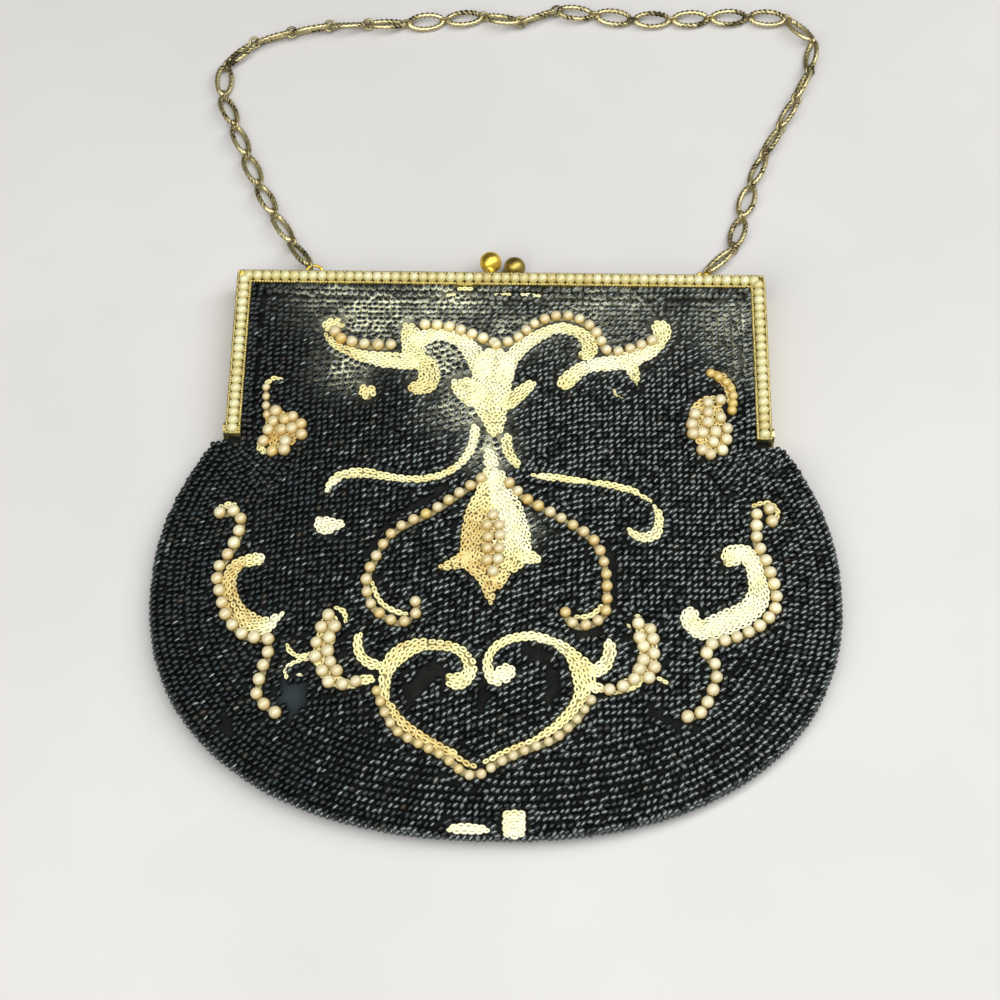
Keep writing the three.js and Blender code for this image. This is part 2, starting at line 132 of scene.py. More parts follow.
# Beads are bright or dull glass; some are dull at random, and the higher share of dull ones on the left is
# painted shade, darker there as if less light fell on it.
PAINTED_SHADE_SPAN = (-62.0, 12.0)
DULL_SHARE = (0.97, 0.3)
PIECE_BOUNDS = (-99, -30, 30, 99)
RIM_ROWS = 12
FIELD_TILT = math.radians(12)
FIELD_WAVE = 2.2
FIELD_WAVELENGTH = 46.0
EDGE_ROW = 0.95
FRAME_ROWS = 2
FRAME_GAP = 0.8
FRAME_LIFT = 1.9
FRAME_LIFT_REACH = 7.0
GLINT_SLANT = math.radians(33)
GLINT_STRAY = 0.3
BEAD_LEAN = 0.15
BEAD_SKEW = 0.2
BEAD_BOB = 0.05
BEAD_UNEVEN = 0.07
BEAD_SIZES = (0.82, 1.14)
BEAD_FACETS = (8, 4)
BACK_FACETS = (6, 4)
BACK_ROWS = 48
FIRST_ROW = 0.5
LAST_PLACE = 1.97
INSET_SLACK = 0.12
SHORTEST_RUN = 3
OPENING_ROOM = 0.35
BELOW_ARMS = 1.3
MOTIF_OVERLAP = 0.22
BARE_RAGGED = 0.5
FIELD_ROWS = (-200, 40)
FIELD_SPAN = (-100, 100)
FIELD_STEPS = 400
GAP_AREA = ((-96, -178), (96, -4))
GAP_DRAWS = 60000
CELL = 2
SEAM_DROP = 1.5
SEAM_Z = 4.7
SEAM_OUT = 0.1

# Pearls and chain stitch of the motif
PEARL_DIAMETER = 3.65
PEARL_SEAT = 1.25
BAND_FULLNESS = 1.22
STITCH_LENGTH = 2.05
STITCH_ROW = 1.4
STITCH_WIDTH = 1.74
STITCH_SPAN = 2.5
STITCH_EDGE = 0.75
THREAD = 0.7
PAD_HEIGHT = 0.5
BED_WIDTH = 2.9
BAND_STEP = 0.4
BED_TONE = 0.68
CURVE_STEPS = 10
STRING_STEP = 0.2
END_ROUNDNESS = 0.85
EDGE_FAN = 9
EDGE_TURN = 24
PEARL_PRESS = 0.96
PEARL_FACETS = (10, 6)
PEARL_UNEVEN = 0.03
PEARL_TONE_STRAY = 0.14
STITCH_STRAY = 0.06
STITCH_BOB = 0.05
STITCH_TILT = 0.16
STITCH_UNEVEN = 0.06
STITCH_SIZES = (0.85, 1.15)
STITCH_TONE_STRAY = 0.06
STITCH_FACETS = (10, 5)
SMALLEST_STITCH = 0.55
PAD_STEP = 0.8
PAD_SECTION = [(-0.72, -0.4), (-0.64, 0.1), (-0.4, 0.3), (0.4, 0.3), (0.64, 0.1), (0.72, -0.4)]

# Clasp and chain
BALL_DIAMETER = 6.5
BALL_PLACES = {"front": (-3.25, 5.35, 7.75), "back": (3.9, 6.75, 3.25)}
KNOB_FOOT = [(0.0, 1.9), (0.45, 1.95), (0.6, 1.75), (0.75, 1.25)]
KNOB_NECK = [(-0.3, 1.2), (0.1, 1.3)]
KNOB_SEAT = 1.45
KNOB_TIP = 0.06
KNOB_RINGS = 22
KNOB_SIDES = 36
JUMP_RADIUS = 2.6
JUMP_WIRE = 0.9
JUMP_SEAT_Y = 0.95
BACK_HALF_Z = 2.425
CHAIN_ENDS = {
    "left": {"loop_x": -56.0, "tilt": math.radians(30), "pull": math.radians(-32)},
    "right": {"loop_x": 60.5, "tilt": math.radians(-3), "pull": math.radians(24)},
}
LINK_COUNT = 31
LINK_WIRE = 1.05
LINK_WIDTH = 5.6
KNURLED_WIRE = 1.85
KNURL_TURNS = 7
STRAND_RIDGES = 3
STRAND_CORE = 0.68
LINK_END_SHARE = 0.66
FLOOR_GAP = 0.02
LINK_STEPS = 84
THIN_FROM = 0.72
CHAIN_STEPS = 400
RING_FACETS = (28, 8)
JUMP_FACETS = (40, 10)
RING_DIAMETER = 4.05
RING_WIRE = 0.85
SOLDER_DEPTH = 0.06
END_CLEARANCE = 0.35
CHAIN_Z = 2.1
WALK_STEP = 0.02
MOST_SLACK = 1.2
CHAIN_ROUTE = [
    (-61.6, 12.2), (-72.7, 32.6), (-82.5, 57), (-89.3, 77.5), (-85.5, 89), (-62.9, 99),
    (-28.1, 102.6), (-3.5, 105.6), (8.2, 102.4), (17, 107.8), (40.7, 104.8), (78.5, 106.4),
    (91.5, 105), (98.2, 95), (91.1, 72), (79.5, 48.2), (72.5, 25.7), (68.9, 12.8),
]
LINK_ROLLS = [
    41, 36, 27, 23, 30, 27, 20, -32, -60, -60, -45, -27, 25, 5, -25, -60,
    0, 15, 15, 15, 15, 15, -25, 50, 62, 46, 50, 42, 15, 25, 42,
]

# Chain-stitched bands: pixel x and y, width in millimetres, tone from 0 gold to 1 white
STITCHED = {
    "upper_left_tip": [
        (325, 330, 3.4, 0.5), (330, 325, 4.2, 0.6), (338, 324, 4.0, 0.6), (345, 324, 2.4, 0.6),
    ],
    "upper_left_band": [
        (325, 333, 1.6, 0.5), (330, 341, 2.0, 0.4), (338, 347, 2.3, 0.4), (347, 351, 2.8, 0.45),
        (360, 356, 3.6, 0.65), (376, 359, 4.6, 0.8),
        (393, 361, 5.0, 0.75), (408, 362, 5.4, 0.7), (418, 362, 5.0, 0.7),
    ],
    "upper_left_trunk": [
        (407, 323, 2.6, 0.6), (410, 331, 4.4, 0.7), (413, 345, 5.6, 0.75), (416, 360, 6.0, 0.7),
    ],
    "upper_left_arch": [
        (414, 345, 5.0, 0.75), (425, 337.5, 4.6, 0.85), (436, 335.5, 4.2, 0.95),
        (447, 336, 4.2, 1.0), (458, 339.5, 4.6, 1.0), (467, 346, 4.8, 1.0), (474, 354, 5.0, 0.95),
        (479, 365, 5.0, 0.9), (484, 378, 5.0, 0.85),
    ],
    "upper_left_hook": [
        (418, 358, 6.0, 0.65), (427, 367, 5.2, 0.55), (430, 377, 5.2, 0.5), (425, 386, 5.2, 0.45),
        (416, 388, 4.4, 0.4), (410, 384.5, 2.6, 0.4),
    ],
    "upper_left_spot": [(365, 385, 3.4, 0.4), (367.5, 392, 4.8, 0.5), (368, 399, 3.0, 0.5)],
    "leaf": [
        (493, 349, 6.0, 0.8), (494, 362, 9.4, 0.9), (493, 374, 9.6, 0.9), (491, 386, 9.8, 0.85),
        (490, 398, 9.0, 0.8), (491, 408, 7.8, 0.75), (494, 418, 6.0, 0.7), (495, 428, 4.4, 0.65),
        (496, 437, 2.4, 0.6),
    ],
    "leaf_left_lobe": [
        (455, 379, 3.4, 0.7), (463, 386, 6.0, 0.75), (472, 394, 7.2, 0.75), (482, 403, 7.4, 0.75),
    ],
    "leaf_right_spike": [
        (503, 408, 4.2, 0.6), (513, 399.5, 4.0, 0.6), (524, 390, 3.6, 0.65), (534, 382, 2.6, 0.75),
    ],
    "upper_right_arch": [
        (503, 384, 4.5, 0.8), (508, 365, 4.2, 0.9), (517, 352, 4.0, 0.95), (527, 344, 3.8, 0.85),
        (540, 336, 3.8, 0.8), (553, 330.5, 3.7, 0.8), (566, 329.5, 3.7, 0.8),
        (578, 333, 3.8, 0.65), (587, 340, 3.8, 0.6), (590.5, 349, 3.8, 0.6), (586, 355, 3.6, 0.6),
        (578, 355, 2.8, 0.6),
    ],
    "upper_right_band": [
        (561, 387, 5.0, 0.5), (569, 380, 4.4, 0.6), (578, 371.5, 4.0, 0.8), (593, 365.5, 4.2, 0.95),
        (611, 364, 4.8, 1.0), (629, 360.5, 4.9, 0.9), (647, 353, 4.4, 0.9), (657, 346, 3.4, 0.7),
        (662, 337, 4.0, 0.65), (660, 328, 5.6, 0.7), (654, 325, 5.6, 0.7),
    ],
    "upper_right_tail": [(630, 366, 4.4, 0.8), (634.5, 376, 2.8, 0.7), (636.5, 386, 1.2, 0.6)],
    "upper_right_wisp": [(614, 389, 0.9, 0.6), (616, 396, 0.9, 0.6), (624, 399, 0.9, 0.6)],
    "left_tendril": [
        (475, 424, 2.4, 1.0), (475, 435, 2.4, 1.0), (472, 447, 2.2, 0.95), (461, 463, 2.0, 0.7),
        (442, 475, 2.0, 0.55), (414, 479.5, 2.0, 0.55), (388, 477, 2.2, 0.6), (364, 473, 2.9, 0.55),
        (344, 475, 2.9, 0.75), (332, 483, 2.5, 0.95), (326, 493, 1.3, 1.0),
    ],
    "left_tendril_end": [
        (319, 516.5, 2.6, 1.0), (325, 525, 5.2, 1.0), (333, 525.5, 3.6, 0.95), (345, 523.5, 2.0, 0.9),
    ],
    "right_tendril_start": [
        (508, 433, 2.0, 0.7), (506.5, 442, 2.7, 0.7), (508, 451, 2.6, 0.65), (512, 459, 2.5, 0.6),
        (519, 468, 2.2, 0.6),
    ],
    "right_tendril": [
        (530, 474.5, 1.2, 0.7), (540, 476.5, 1.9, 0.7), (554, 478, 2.1, 0.6), (572, 480, 1.9, 0.6),
        (594, 483, 1.8, 0.6), (616, 486.5, 2.0, 0.6), (632, 491, 2.0, 0.65),
        (646, 498.5, 1.5, 0.7), (652, 502.5, 1.3, 0.7),
    ],
    "right_tendril_curl": [
        (653, 504, 1.4, 0.7), (658, 513, 2.0, 0.65), (659, 523, 2.2, 0.7), (656, 533, 2.8, 0.8),
        (646, 538, 2.5, 0.8), (636, 536, 2.3, 0.7), (627, 528, 1.6, 0.7),
    ],
    "tulip_neck": [(488, 448, 1.8, 1.0), (490, 458, 3.2, 1.0), (492, 468, 4.6, 1.0)],
    "tulip_left": [
        (489, 468, 3.2, 0.9), (488, 478, 4.0, 0.85), (486, 492, 4.8, 0.6), (483, 508, 7.0, 0.35),
        (480, 524, 8.0, 0.25), (478.5, 545, 8.4, 0.2), (480, 560, 8.6, 0.2), (486, 574, 5.2, 0.2),
        (489, 588, 3.4, 0.15), (491.5, 605, 1.5, 0.15),
    ],
    "tulip_right": [
        (496, 468, 3.2, 0.95), (498, 478, 4.2, 0.95), (501, 492, 5.4, 0.95), (506.5, 508, 7.4, 1.0),
        (509.5, 524, 8.2, 1.0), (512, 542, 9.0, 0.9), (510, 557, 7.8, 0.5), (501.5, 572, 4.6, 0.3),
        (496.5, 588, 2.5, 0.2),
    ],
    "tulip_left_tip": [
        (471, 555, 5.0, 0.25), (459, 562, 3.8, 0.25), (448, 565.5, 2.6, 0.25), (438, 567.5, 1.3, 0.25),
    ],
    "tulip_right_tip": [(519, 552, 5.0, 0.6), (530, 557.5, 3.8, 0.7), (541, 560.5, 1.5, 0.75)],
    "left_string_thread": [
        (372, 580, 1.1, 0.5), (376, 594, 1.5, 0.6), (384, 605, 1.6, 0.7), (396, 612, 1.4, 0.7),
        (409, 614, 1.1, 0.6),
    ],
    "right_string_thread": [
        (574, 616, 1.3, 0.6), (585, 617, 1.6, 0.65), (595, 613, 1.5, 0.6), (602, 604, 1.1, 0.5),
    ],
    "heart_left": [
        (387, 700, 1.9, 0.5), (385.5, 690, 2.3, 0.55), (385, 680, 2.7, 0.55), (387, 670, 3.3, 0.55),
        (394, 659, 4.2, 0.5), (405, 650, 4.1, 0.45), (421, 645, 3.2, 0.45), (441, 645, 2.5, 0.45),
        (457, 648.5, 2.5, 0.55), (467.5, 658, 2.8, 0.6), (470.5, 668, 3.0, 0.65), (466, 678, 3.3, 0.75),
        (456, 681, 4.3, 0.65), (446, 676, 2.6, 0.45),
    ],
    "heart_left_branch": [
        (385, 665, 2.6, 0.6), (374, 664.5, 2.6, 0.6), (365, 660.5, 2.5, 0.6), (359, 652, 2.3, 0.6),
        (357.5, 641, 2.2, 0.65), (361, 632, 1.9, 0.65),
    ],
    "heart_left_edge": [
        (388, 700, 1.8, 0.45), (393, 711, 2.0, 0.35), (403, 723, 2.1, 0.25), (420, 735, 2.0, 0.2),
        (441, 747, 1.9, 0.2), (457, 756, 1.8, 0.25), (468, 764, 1.6, 0.35), (477, 767, 1.5, 0.4),
    ],
    "heart_right": [
        (515, 671, 2.4, 1.0), (508, 671, 4.3, 1.0), (500, 676.5, 4.2, 1.0), (493, 679.5, 2.9, 0.85),
        (488.5, 671, 2.3, 0.75),
        (487.5, 661, 2.2, 0.7), (494, 648, 2.0, 0.7), (508, 639.5, 2.2, 0.7), (522, 636.5, 2.3, 0.75),
        (536, 636.5, 2.3, 0.8), (557, 643.5, 2.5, 0.8), (572, 655, 3.3, 0.6), (581, 667, 5.2, 0.55),
        (584, 680, 5.2, 0.55), (582, 692, 3.4, 0.6), (577, 703, 2.8, 0.6), (567, 716, 2.3, 0.55),
        (553, 728, 2.0, 0.65), (536, 738.5, 1.7, 0.6), (515, 747, 1.6, 0.5), (497, 755, 1.6, 0.5),
        (483, 763, 1.6, 0.5),
    ],
    "heart_right_branch": [
        (588, 671, 4.0, 0.85), (597, 670, 3.4, 0.85), (604, 666, 3.0, 0.8), (608.5, 656, 2.8, 0.8),
        (610, 646, 2.8, 0.85), (606, 640, 2.6, 0.8),
    ],
    "heart_right_tuft": [(588, 684, 3.4, 0.8), (597, 688, 2.6, 0.7), (604, 690, 1.8, 0.6)],
    "left_comb_tuft": [(357, 681, 2.0, 0.6), (366, 679, 2.4, 0.6), (375, 680, 1.6, 0.6)],
    "left_comb_top": [
        (334, 607, 1.2, 0.5), (342, 609, 1.4, 0.5), (346, 615, 1.4, 0.5), (345, 624, 1.0, 0.5),
    ],
    "left_comb_upper_wisp": [
        (313, 653, 0.9, 0.7), (305, 655, 1.4, 0.75), (298, 656, 1.1, 0.7), (290, 651, 1.3, 0.6),
        (287, 643, 1.0, 0.5),
    ],
    "left_comb_lower_wisp": [
        (309, 659, 0.9, 0.7), (300, 660.5, 1.2, 0.75), (290, 664, 1.3, 0.8), (285, 672, 1.2, 0.8),
        (288, 678, 1.0, 0.7),
    ],
    "left_comb_knot": [(296, 674, 1.3, 0.8), (303, 675, 1.3, 0.8)],
    "left_comb_bed": [
        (331, 612, 3.0, 0.45), (328, 630, 4.2, 0.45), (323, 650, 4.4, 0.45), (326, 668, 4.2, 0.45),
        (335, 681, 3.0, 0.5), (352, 684, 2.0, 0.5), (364, 682, 1.6, 0.6),
    ],
    "right_comb_bed": [
        (640, 621, 2.8, 0.6), (646, 636, 4.2, 0.6), (648, 652, 4.2, 0.6), (644, 668, 4.0, 0.6),
        (634, 680, 3.0, 0.6), (618, 688, 2.0, 0.6),
    ],
    "right_comb_left_bit": [(627, 623, 1.6, 0.6), (631, 629, 1.3, 0.6)],
    "right_comb_top_bit": [(634, 615, 1.3, 0.7), (642, 616, 1.2, 0.7)],
    "right_comb_tail": [(656, 677, 1.2, 0.65), (663, 680, 1.8, 0.7), (668, 684, 1.0, 0.7)],
    "right_comb_edge": [(612, 693, 1.2, 0.5), (626, 690, 1.2, 0.5), (641, 684, 1.2, 0.5)],
    "left_scroll": [
        (264, 559, 4.4, 0.95), (256, 559.5, 3.8, 0.6), (245, 561.5, 3.2, 0.35),
        (235, 567, 3.4, 0.25), (230.5, 577, 3.6, 0.2), (229.5, 589, 3.6, 0.2),
        (232.5, 602, 3.8, 0.2), (240.5, 614.5, 4.2, 0.25), (253, 623, 4.6, 0.4),
        (265, 626, 4.2, 0.85), (274, 620, 2.6, 0.95), (284, 611, 1.2, 0.95),
    ],
    "left_scroll_top": [(219, 505, 1.7, 0.5), (228, 506, 2.0, 0.5), (237, 503, 1.7, 0.5)],
    "right_scroll_block": [(725, 565, 3.0, 0.55), (731, 557, 5.2, 0.9), (738, 549, 4.2, 1.0)],
    "right_scroll": [
        (733, 553, 4.6, 1.0), (745, 553, 4.4, 1.0), (752, 562, 4.3, 0.95), (755.5, 575, 4.3, 0.85),
        (758.5, 590, 5.0, 0.85), (755.5, 603, 5.4, 0.95), (745, 613, 5.6, 1.0), (730, 620.5, 5.8, 1.0),
        (714, 627, 5.6, 1.0), (701, 631, 4.6, 0.95), (692, 626, 4.4, 0.95), (690, 617, 4.8, 0.95),
        (695, 610, 4.0, 0.9),
    ],
    "right_scroll_top": [
        (751, 507, 1.4, 0.4), (762, 503, 1.6, 0.4), (772, 505, 1.6, 0.4), (778, 514, 1.6, 0.4),
        (774, 524, 1.3, 0.4),
    ],
    "left_drop_hook": [
        (284, 379, 1.3, 0.5), (275, 378, 1.5, 0.5), (268, 381, 1.5, 0.45), (266, 390, 1.2, 0.4),
    ],
    "left_drop_bed": [
        (269, 414, 3.0, 0.1), (281, 424, 7.0, 0.1), (283, 437, 7.6, 0.1), (276, 450, 4.4, 0.15),
    ],
    "left_drop_edge": [(261, 440, 1.6, 0.55), (261, 448, 2.0, 0.6), (267, 455, 1.8, 0.6)],
    "right_drop_hook": [
        (711, 373, 2.4, 0.05), (722, 379, 3.2, 0.15), (729, 388, 3.0, 0.3), (731, 400, 2.4, 0.4),
        (731, 410, 1.6, 0.4),
    ],
    "right_drop_bed": [
        (716, 398, 3.4, 0.25), (708, 412, 8.2, 0.25), (707, 428, 9.2, 0.25), (710, 444, 6.6, 0.25),
        (711, 453, 4.0, 0.3),
    ],
    "bottom_left_patch": [
        (446, 829.5, 1.4, 1.0), (455, 828, 2.2, 1.0), (467, 828.5, 2.4, 1.0), (480, 829, 2.2, 1.0),
        (490, 829.5, 1.4, 1.0),
    ],
    "bottom_patch_upper": [(502, 815, 2.6, 0.8), (514, 815, 2.8, 0.9), (526, 815, 2.6, 0.95)],
    "bottom_patch_middle": [(502, 821.5, 2.6, 0.85), (514, 821.5, 2.8, 1.0), (526, 821.5, 2.6, 1.0)],
    "bottom_patch_lower": [(502, 828, 2.6, 0.9), (514, 828, 2.8, 1.0), (526, 828, 2.6, 1.0)],
    "bottom_patch_edge": [(503, 833, 2.2, 0.95), (514, 833.5, 2.4, 1.0), (525, 833, 2.2, 1.0)],
    "top_glint_a": [(447, 298, 1.3, 0.6), (455, 297, 1.2, 0.6)],
    "top_glint_b": [(458, 292, 1.2, 0.6), (472, 292.5, 1.2, 0.6)],
    "top_glint_c": [(494, 297, 0.9, 0.6), (511, 297, 0.9, 0.6)],
    "top_glint_d": [(520, 297, 1.0, 0.85), (541, 298.5, 1.2, 0.75)],
}

# Strings of pearls: how many, tone from 0 amber to 1 pale, size, and pixels along the string
PEARL_STRINGS = {
    "upper_left_row": (4, 0.6, 0.95, [(352, 342), (364, 344), (378, 345), (391, 345)]),
    "upper_left_arch": (7, 0.95, 0.95, [(425, 325), (448, 327), (471, 334), (494, 343)]),
    "upper_right": (
        17, 0.7, 0.92,
        [(496, 345), (516, 339), (535, 324), (560, 316), (583, 321), (598, 335), (608, 351),
         (630, 349), (652, 341)],
    ),
    "tulip_left": (
        20, 0.35, 0.88,
        [(481, 478), (457, 494), (433, 510), (412, 520), (393, 531.5), (378, 553), (366.6, 578.7),
         (373, 606), (398.5, 621.6), (416.7, 612), (415.5, 601)],
    ),
    "tulip_right": (
        19, 0.3, 0.88,
        [(509.4, 482.4), (527.6, 499), (549, 511), (572.4, 524.4), (593.6, 539.7), (604, 562.6),
         (606.8, 589.3), (603.8, 614.5), (584.9, 624.7), (571.4, 621.6), (565.3, 611.7)],
    ),
    "heart_left": (
        13, 0.3, 0.78,
        [(376.8, 689.8), (384.5, 710), (396.5, 729), (418.2, 741.7), (442, 753.6), (465.9, 771.9),
         (481.4, 771.9)],
    ),
    "heart_right": (
        11, 0.5, 0.78,
        [(591, 699), (583, 710.5), (574, 721), (554, 737.5), (525.6, 748.5), (501, 759.5), (491, 766)],
    ),
    "left_scroll": (
        21, 0.6, 1.0,
        [(221, 512.7), (237, 511.5), (241.8, 523.6), (232.8, 548), (218.8, 569.7), (221, 594),
         (228.5, 618), (246, 635), (270, 640), (263, 668), (257.6, 694.5), (275.8, 711.5)],
    ),
    "right_scroll": (
        22, 0.8, 1.0,
        [(755.6, 514.8), (756, 540), (765, 560.4), (773.5, 585.8), (774.9, 607), (760, 624.7),
         (736, 636.7), (705, 647.4), (716, 667.5), (712, 690), (699.8, 711.7), (687, 715.7)],
    ),
    "left_drop": (4, 0.3, 0.72, [(267, 386.6), (267, 395.5), (267, 405.8), (268, 414)]),
    "right_drop": (
        7, 0.0, 0.82, [(710, 373), (719, 377.5), (727, 384), (731.5, 392), (732, 401), (731, 410)]),
}
# Pearls that are sewn one by one: tone, size and pixels
PEARL_CLUSTERS = {
    "upper_left_amber": (0.15, 1.0, [(335, 332), (341, 339)]),
    "tulip_heart": (
        0.5, 0.93,
        [(493, 515), (487, 525), (499, 525), (488, 537), (500, 535), (487, 548), (499, 548),
         (487, 560), (498, 559), (493, 571)],
    ),
    "left_comb": (
        0.6, 1.0,
        [(329, 614.7), (322, 626.7), (335.4, 626), (329.8, 637), (317, 642), (328.4, 650.5),
         (315.8, 656), (331, 661), (322.8, 670), (337.5, 670), (329, 681), (343, 683.5),
         (356.5, 680.7)],
    ),
    "right_comb": (
        0.8, 1.0,
        [(637.8, 623), (649.8, 628.8), (639, 637), (652.6, 638.6), (642.8, 646), (653.3, 653),
         (642.8, 659.6), (638.5, 668.8), (654, 666.6), (633.6, 678.6), (648.4, 677), (622.4, 685.6),
         (609, 689)],
    ),
    "right_scroll_top": (0.6, 1.0, [(768, 509.5), (770.8, 521.5)]),
    "left_drop": (
        0.35, 1.0,
        [(277, 411), (274.5, 421.5), (286, 419.5), (293.7, 416.7), (302, 424), (269.7, 429.8),
         (282.7, 429.8), (293, 428.5), (302.6, 434.5), (265, 440.7), (286.8, 441.4), (273.8, 451),
         (285.5, 449.6)],
    ),
    "right_drop": (
        0.7, 1.0,
        [(719.4, 400), (707, 403), (707, 412.8), (719.4, 417.8), (694, 414.5), (706.5, 422.9),
         (691, 424.7),
         (725.8, 428.6), (714.3, 432), (701.4, 432.9), (692, 434), (725, 439.4), (712, 442),
         (700.7, 450), (720.8, 450), (709.3, 454.4)],
    ),
}

# Places where the beads are gone: pixels along the place and its width in millimetres
BARE_PLACES = {
    "left_of_left_string": (2.4, [(447, 489), (420, 504), (396, 517), (378, 537), (368, 556)]),
    "right_of_right_string": (2.0, [(606, 540), (613, 560), (615, 585), (613, 606)]),
    "below_right_string": (2.2, [(575, 633), (590, 634), (600, 630)]),
    "heart_left": (5.4, [(437, 671), (424, 678), (412, 694)]),
    "heart_right": (4.0, [(527, 651), (541, 655), (550, 668), (553, 684), (549, 700)]),
    "heart_seam": (2.6, [(483, 686), (483, 709)]),
    "left_hole": (6.0, [(288, 694), (298, 697), (294, 704)]),
    "lower_left": (4.2, [(224, 719), (229, 729)]),
    "lower_right": (2.6, [(648, 703), (660, 718), (676, 724)]),
}
# Dusty places, which also give the beads there painted sheen: pixel, reach in pixels, strength
DUST_AND_SHEEN = [
    (366, 318, 26, 1.0), (390, 312, 24, 0.9), (448, 355, 22, 1.0), (470, 404, 22, 0.9),
    (446, 302, 28, 1.0), (480, 296, 24, 0.4), (600, 304, 46, 0.42), (733, 326, 30, 0.45),
    (346, 368, 18, 0.6), (512, 335, 20, 0.6), (489, 450, 14, 1.2), (524, 530, 10, 0.6),
    (340, 292, 30, 0.5), (742, 366, 14, 0.4),
]
DUST_AND_SHEEN_SCALE = 0.28
FADED_PIXEL = (292, 697)
FADED_REACH = 3.2

rng = np.random.default_rng(7)


def on_floor(places):
    """Places of the purse in the row frame, in metres."""
    return PURSE_ZERO + np.asarray(places, float) * MM


def camera_axes():
    """Eye of the camera and its backward, rightward and upward directions."""
    back = np.array([
        math.sin(CAMERA_AZIMUTH) * math.cos(CAMERA_ELEVATION),
        -math.cos(CAMERA_AZIMUTH) * math.cos(CAMERA_ELEVATION),
        math.sin(CAMERA_ELEVATION),
    ])
    level = np.cross(-back, (0, 0, 1))
    level /= np.linalg.norm(level)
    steep = np.cross(level, -back)
    right = math.cos(CAMERA_ROLL) * level + math.sin(CAMERA_ROLL) * steep
    up = math.cos(CAMERA_ROLL) * steep - math.sin(CAMERA_ROLL) * level
    return CAMERA_TARGET + back * CAMERA_DISTANCE, back, right, up


EYE, BACK, RIGHT, UP = camera_axes()
GLINT_WAY = math.cos(GLINT_SLANT) * RIGHT + math.sin(GLINT_SLANT) * UP


def smooth(value, start, end):
    """0 before start, 1 after end, and an easy way between."""
    share = np.clip((value - start) / (end - start), 0, 1)
    return share * share * (3 - 2 * share)


def unit(vectors):
    """The same directions, each of length 1."""
    return vectors / np.linalg.norm(vectors, axis=1, keepdims=True)


def left_of(way):
    """Directions to the left of directions in the plan."""
    return np.stack([-way[:, 1], way[:, 0]], 1)


def lengths(line):
    """How far along a line each of its points lies."""
    return np.concatenate([[0], np.cumsum(np.linalg.norm(np.diff(line, axis=0), axis=1))])


def stops_on(line, length, stops):
    """Every column of a line at given lengths along it."""
    return np.stack([np.interp(stops, length, column) for column in line.T], 1)


def even_steps(line, step):
    """The same line in even steps, measured on its first two columns."""
    length = lengths(line[:, :2])
    count = max(2, round(length[-1] / step) + 1)
    return stops_on(line, length, np.linspace(0, length[-1], count))


def chart_legs(points):
    """Each leg of a chart, between the points before and after it."""
    padded = np.vstack([2 * points[0] - points[1], points, 2 * points[-1] - points[-2]])
    return zip(padded, padded[1:], padded[2:], padded[3:])


def bent_leg(start, end, way_in, way_out, steps):
    """A smooth leg between two points, by the ways in which it leaves and arrives."""
    share = np.linspace(0, 1, steps, endpoint=False)[:, None]
    bend = 3 * (end - start) - 2 * way_in - way_out
    twist = 2 * (start - end) + way_in + way_out
    return start + share * (way_in + share * (bend + share * twist))


def curve_through(points):
    """A smooth line through the points of a chart."""
    points = np.asarray(points, float)
    line = [
        bent_leg(start, end, (end - before) / 2, (after - start) / 2, CURVE_STEPS)
        for before, start, end, after in chart_legs(points)
    ]
    return np.vstack([*line, points[-1:]])


def ways(line):
    """Unit directions along a line."""
    way = np.gradient(line[:, :2], axis=0)
    return way / np.maximum(np.linalg.norm(way, axis=1, keepdims=True), 1e-9)


def pouch_rim():
    """Closed outline of the pouch, clockwise from the middle of its top."""
    along = np.linspace(0, 1, RIM_STEPS)[:, None]
    rise = 1 - along
    turn = along * math.pi / 2
    power = 2 / LOWER_ROUNDNESS
    top = np.hstack([along * RIM_HALF, np.full_like(along, RIM_TOP)])
    side = np.hstack([np.full_like(along, RIM_HALF), RIM_TOP + along * (RIM_FOOT - RIM_TOP)])
    shoulder = np.hstack([
        POUCH_HALF - SHOULDER_INSET * rise ** SHOULDER_POWER,
        WIDEST_Y + rise * (SHOULDER_TOP - WIDEST_Y),
    ])
    lower = np.hstack([
        POUCH_HALF * np.maximum(np.cos(turn), 0) ** power,
        WIDEST_Y + (POUCH_BOTTOM - WIDEST_Y) * np.sin(turn) ** power,
    ])
    right = np.vstack([top, side, shoulder, lower])
    return even_steps(np.vstack([right, right[::-1] * (-1, 1)]), RIM_STEP)[:-1]


RIM = pouch_rim()
RIM_ANGLE = np.arctan2(*(RIM - POUCH_CENTRE).T[::-1])
RIM_REACH = np.hypot(*(RIM - POUCH_CENTRE).T)


def rim_reach(angle):
    return np.interp(angle, RIM_ANGLE, RIM_REACH, period=2 * math.pi)


def ring_reach(rim, place):
    """How far from the middle a level line of the pouch runs: place 1 is the rim band, 2 the rim."""
    band = rim - RIM_BAND
    round_off = smooth(1 - place, 0, CROWN_REACH)
    inner = place * (band + (CROWN_RADIUS - band) * round_off)
    return np.where(place < 1, inner, band + (place - 1) * RIM_BAND)


def ring_place(plan):
    """On which level line of the pouch each point of the plan lies."""
    offset = plan - POUCH_CENTRE
    reach = np.hypot(*offset.T)
    rim = rim_reach(np.arctan2(offset[:, 1], offset[:, 0]))
    low = np.zeros(len(plan))
    high = np.full(len(plan), 2.0)
    for _ in range(HALVINGS):
        middle = (low + high) / 2
        inside = ring_reach(rim, middle) < reach
        low = np.where(inside, middle, low)
        high = np.where(inside, high, middle)
    return low


def held(plan):
    """How far each point of the plan is in the frame's grip, 0 to 1."""
    return smooth(plan[:, 1], FRAME_FOOT - SEAM_BLEND, FRAME_FOOT)


